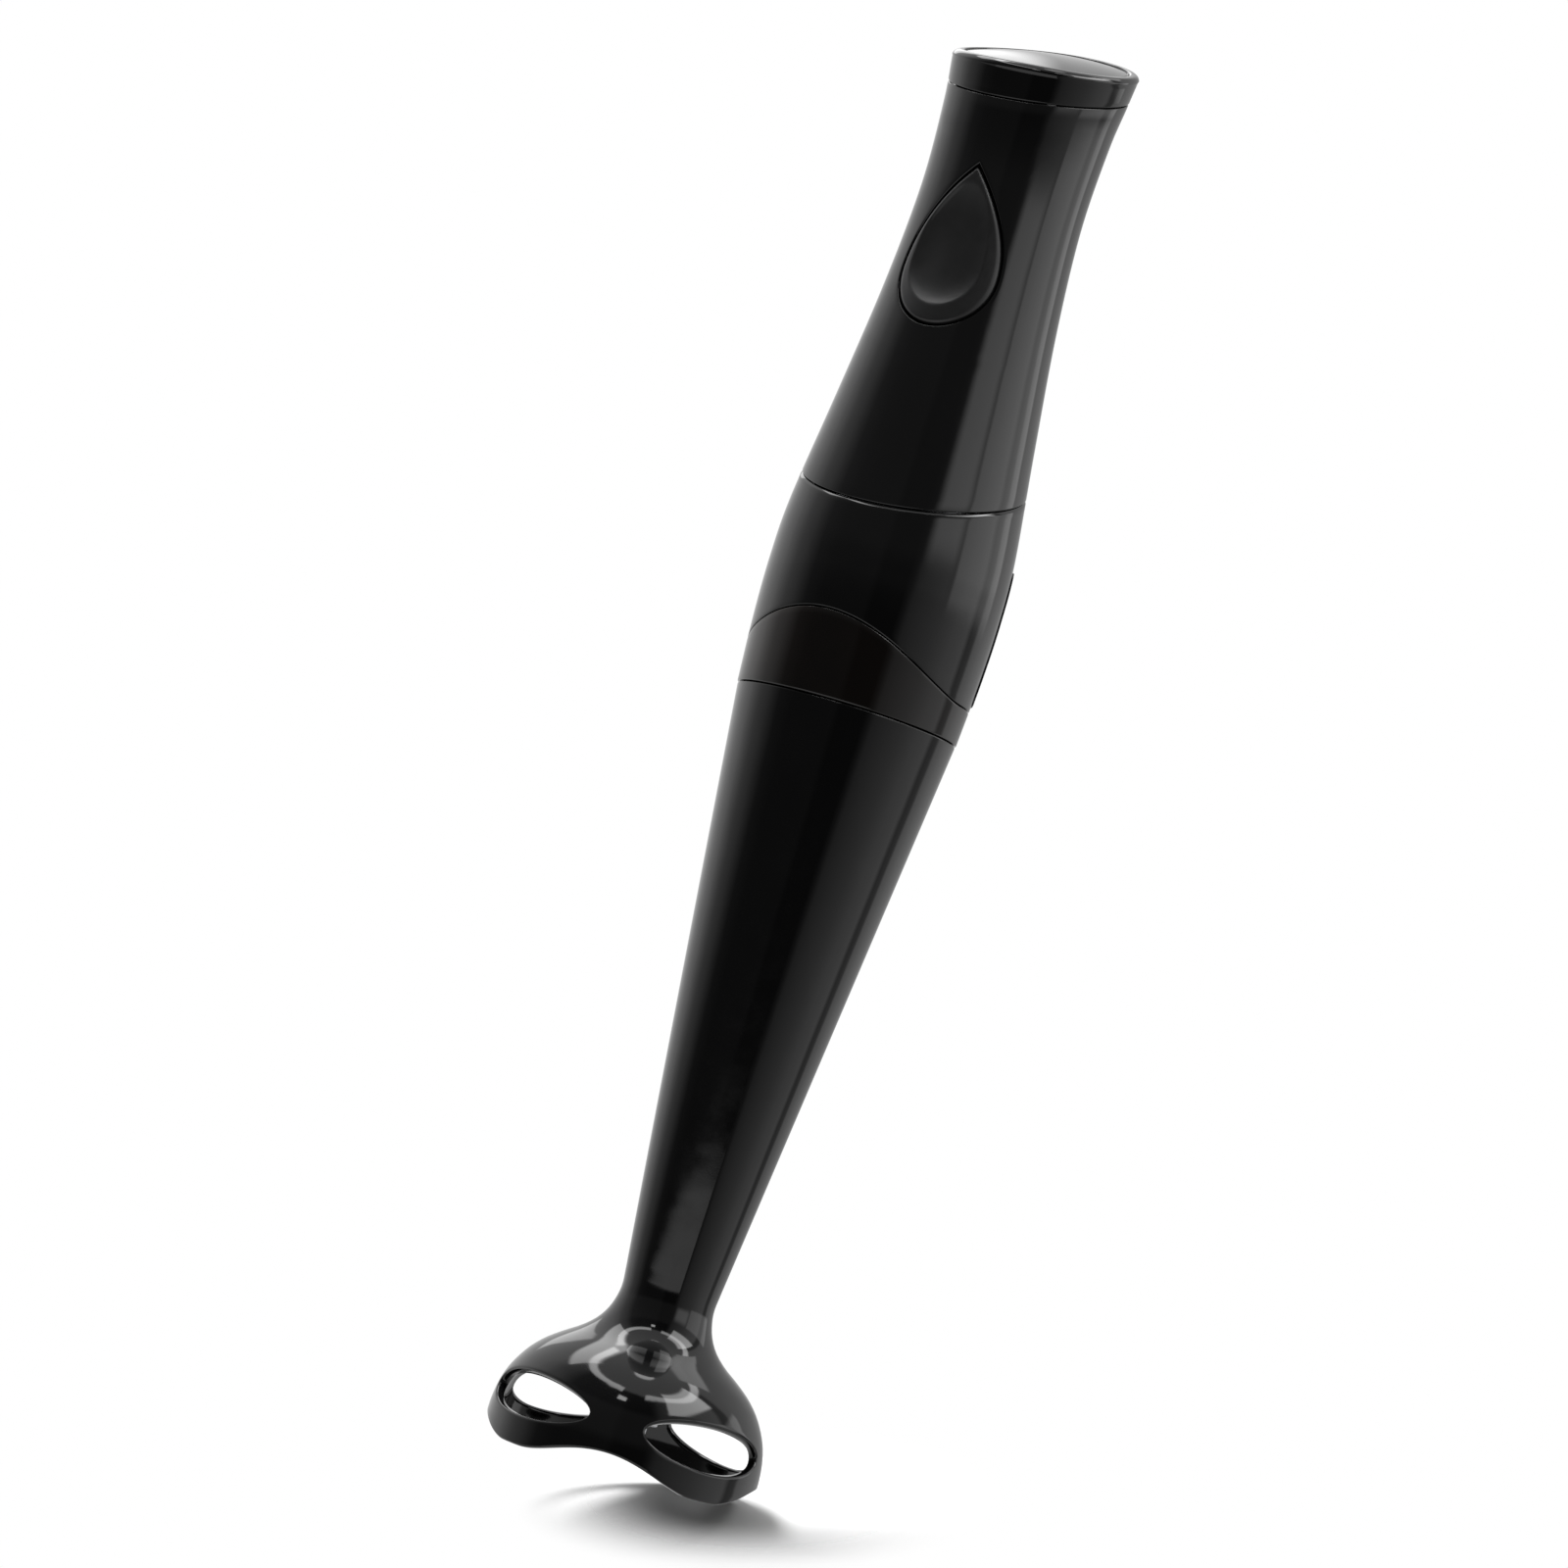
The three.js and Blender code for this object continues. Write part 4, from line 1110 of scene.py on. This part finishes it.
def studio():
    """White all round for the camera; for reflections, softboxes round a dark camera side."""
    world = bpy.data.worlds.new("studio")
    bpy.context.scene.world = world
    world.use_nodes = True
    nodes, links = world.node_tree.nodes, world.node_tree.links
    coords = nodes.new("ShaderNodeTexCoord")
    turn = nodes.new("ShaderNodeMapping")
    turn.inputs["Rotation"].default_value = (0, 0, -math.radians(CAMERA["azimuth"] + CAMERA["yaw"]))
    links.new(coords.outputs["Generated"], turn.inputs["Vector"])
    split = nodes.new("ShaderNodeSeparateXYZ")
    links.new(turn.outputs["Vector"], split.inputs["Vector"])

    def calc(kind, *values):
        node = nodes.new("ShaderNodeMath")
        node.operation = kind
        for socket, value in zip(node.inputs, values):
            if isinstance(value, (int, float)):
                socket.default_value = value
            else:
                links.new(value, socket)
        return node.outputs[0]

    def step(value, low, high):
        node = nodes.new("ShaderNodeMapRange")
        node.interpolation_type = "SMOOTHSTEP"
        node.inputs["From Min"].default_value = low
        node.inputs["From Max"].default_value = high
        links.new(value, node.inputs["Value"])
        return node.outputs["Result"]

    def levels(stops):
        node = nodes.new("ShaderNodeValToRGB")
        elements = node.color_ramp.elements
        while len(elements) < len(stops):
            elements.new(0.5)
        for element, (angle, level) in zip(elements, stops):
            element.position = 0.5 + angle / 360
            element.color = (level, level, level, 1)
        links.new(calc("ADD", calc("DIVIDE", side, 360.0), 0.5), node.inputs["Fac"])
        return node.outputs["Color"]

    def blend(low, high, factor):
        rest = calc("SUBTRACT", 1.0, factor)
        return calc("ADD", calc("MULTIPLY", low, rest), calc("MULTIPLY", high, factor))

    def inside(value, low, high, soft):
        below = calc("SUBTRACT", 1.0, step(value, high - soft, high))
        return calc("MULTIPLY", step(value, low, low + soft), below)

    side = calc("DEGREES", calc("ARCTAN2", split.outputs["X"], calc("MULTIPLY", split.outputs["Y"], -1.0)))
    height = calc("DEGREES", calc("ARCSINE", split.outputs["Z"]))
    light = blend(levels(AROUND_LEVELS), CEILING_LEVEL, step(height, CEILING_EDGE, CEILING_EDGE + 3))
    for left, right, low, high, soft, level in SOFTBOXES:
        patch = calc("MULTIPLY", inside(side, left, right, soft), inside(height, low, high, soft))
        light = calc("ADD", light, calc("MULTIPLY", patch, level))
    links.new(light, nodes["Background"].inputs["Color"])

    dome_mesh = bpy.data.meshes.new("backdrop")
    bm = bmesh.new()
    bmesh.ops.create_uvsphere(bm, u_segments=64, v_segments=32, radius=6)
    bm.to_mesh(dome_mesh)
    bm.free()
    dome = link("backdrop", dome_mesh)
    white = bpy.data.materials.new("backdrop white")
    white.use_nodes = True
    tree = white.node_tree
    tree.nodes.remove(tree.nodes["Principled BSDF"])
    emission = tree.nodes.new("ShaderNodeEmission")
    emission.inputs["Color"].default_value = (1, 1, 1, 1)
    emission.inputs["Strength"].default_value = 1.0
    tree.links.new(emission.outputs["Emission"], tree.nodes["Material Output"].inputs["Surface"])
    dome.data.materials.append(white)
    for ray in ("diffuse", "glossy", "transmission", "volume_scatter", "shadow"):
        setattr(dome, "visible_" + ray, False)


FLOOR_ELEVATION = math.radians(9)  # how far the camera looks down on the floor


def standing_place():
    """The floor's upward direction and the point of the guard it touches, as the blender leans."""
    turn = bpy.context.scene.camera.matrix_world.to_3x3()
    up = (turn @ Vector((0, math.cos(FLOOR_ELEVATION), math.sin(FLOOR_ELEVATION)))).normalized()
    guard = bpy.data.objects["shaft_moulding"]
    lowest = min((v.co for v in guard.data.vertices), key=lambda co: co.dot(up))
    return up, lowest.copy(), turn @ Vector((1, 0, 0))


def floor():
    """A pale disc that fades out into the white all round."""
    up, contact, right = standing_place()
    radii = [0.0, 0.05, 0.1, 0.2, 0.3, 0.45]
    loops = [place(around(96), r, 0) for r in radii]
    disc = finish_mesh("floor", np.array(loops).reshape(-1, 3), grid_faces(len(radii), 96))
    disc.location = contact - up * 0.4 * MM + right * 8 * MM
    disc.rotation_euler = up.to_track_quat("Z", "Y").to_euler()
    material = bpy.data.materials.new("pale floor")
    material.use_nodes = True
    nodes, links = material.node_tree.nodes, material.node_tree.links
    shader = nodes["Principled BSDF"]
    shader.inputs["Base Color"].default_value = (0.33, 0.33, 0.33, 1)
    shader.inputs["Roughness"].default_value = 0.9
    shader.inputs["Specular IOR Level"].default_value = 0.0
    coords = nodes.new("ShaderNodeTexCoord")
    from_lobe = nodes.new("ShaderNodeVectorMath")
    from_lobe.operation = "LENGTH"
    links.new(coords.outputs["Object"], from_lobe.inputs[0])
    fade = nodes.new("ShaderNodeMapRange")
    fade.interpolation_type = "SMOOTHSTEP"
    fade.inputs["From Min"].default_value = 0.02
    fade.inputs["From Max"].default_value = 0.06
    links.new(from_lobe.outputs["Value"], fade.inputs["Value"])
    # seen nearly edge-on the disc fades out too, or it would show as a dark line
    layer = nodes.new("ShaderNodeLayerWeight")
    edge_on = ranged(nodes, links, layer.outputs["Facing"], 0, 1, 0.88, 0.95)
    either = nodes.new("ShaderNodeMath")
    either.operation = "MAXIMUM"
    links.new(fade.outputs["Result"], either.inputs[0])
    links.new(edge_on, either.inputs[1])
    clear = nodes.new("ShaderNodeBsdfTransparent")
    mix = nodes.new("ShaderNodeMixShader")
    links.new(either.outputs["Value"], mix.inputs["Fac"])
    links.new(shader.outputs["BSDF"], mix.inputs[1])
    links.new(clear.outputs["BSDF"], mix.inputs[2])
    links.new(mix.outputs["Shader"], nodes["Material Output"].inputs["Surface"])
    disc.data.materials.append(material)
    disc.visible_glossy = False


def overhead_light():
    """A softbox high on the left behind, which leaves one soft dark patch where the guard stands."""
    up, contact, right = standing_place()
    data = bpy.data.lights.new("overhead softbox", "AREA")
    data.size = 0.24
    data.energy = 34
    obj = bpy.data.objects.new("overhead softbox", data)
    obj.location = contact + up * 0.85 - right * 0.25 - right.cross(up) * 0.45
    obj.rotation_euler = (contact - obj.location).to_track_quat("-Z", "Y").to_euler()
    obj.visible_glossy = False
    bpy.context.scene.collection.objects.link(obj)


camera()
studio()
floor()
overhead_light()
bpy.context.scene.view_settings.view_transform = "Standard"
bpy.context.scene.view_settings.look = "None"
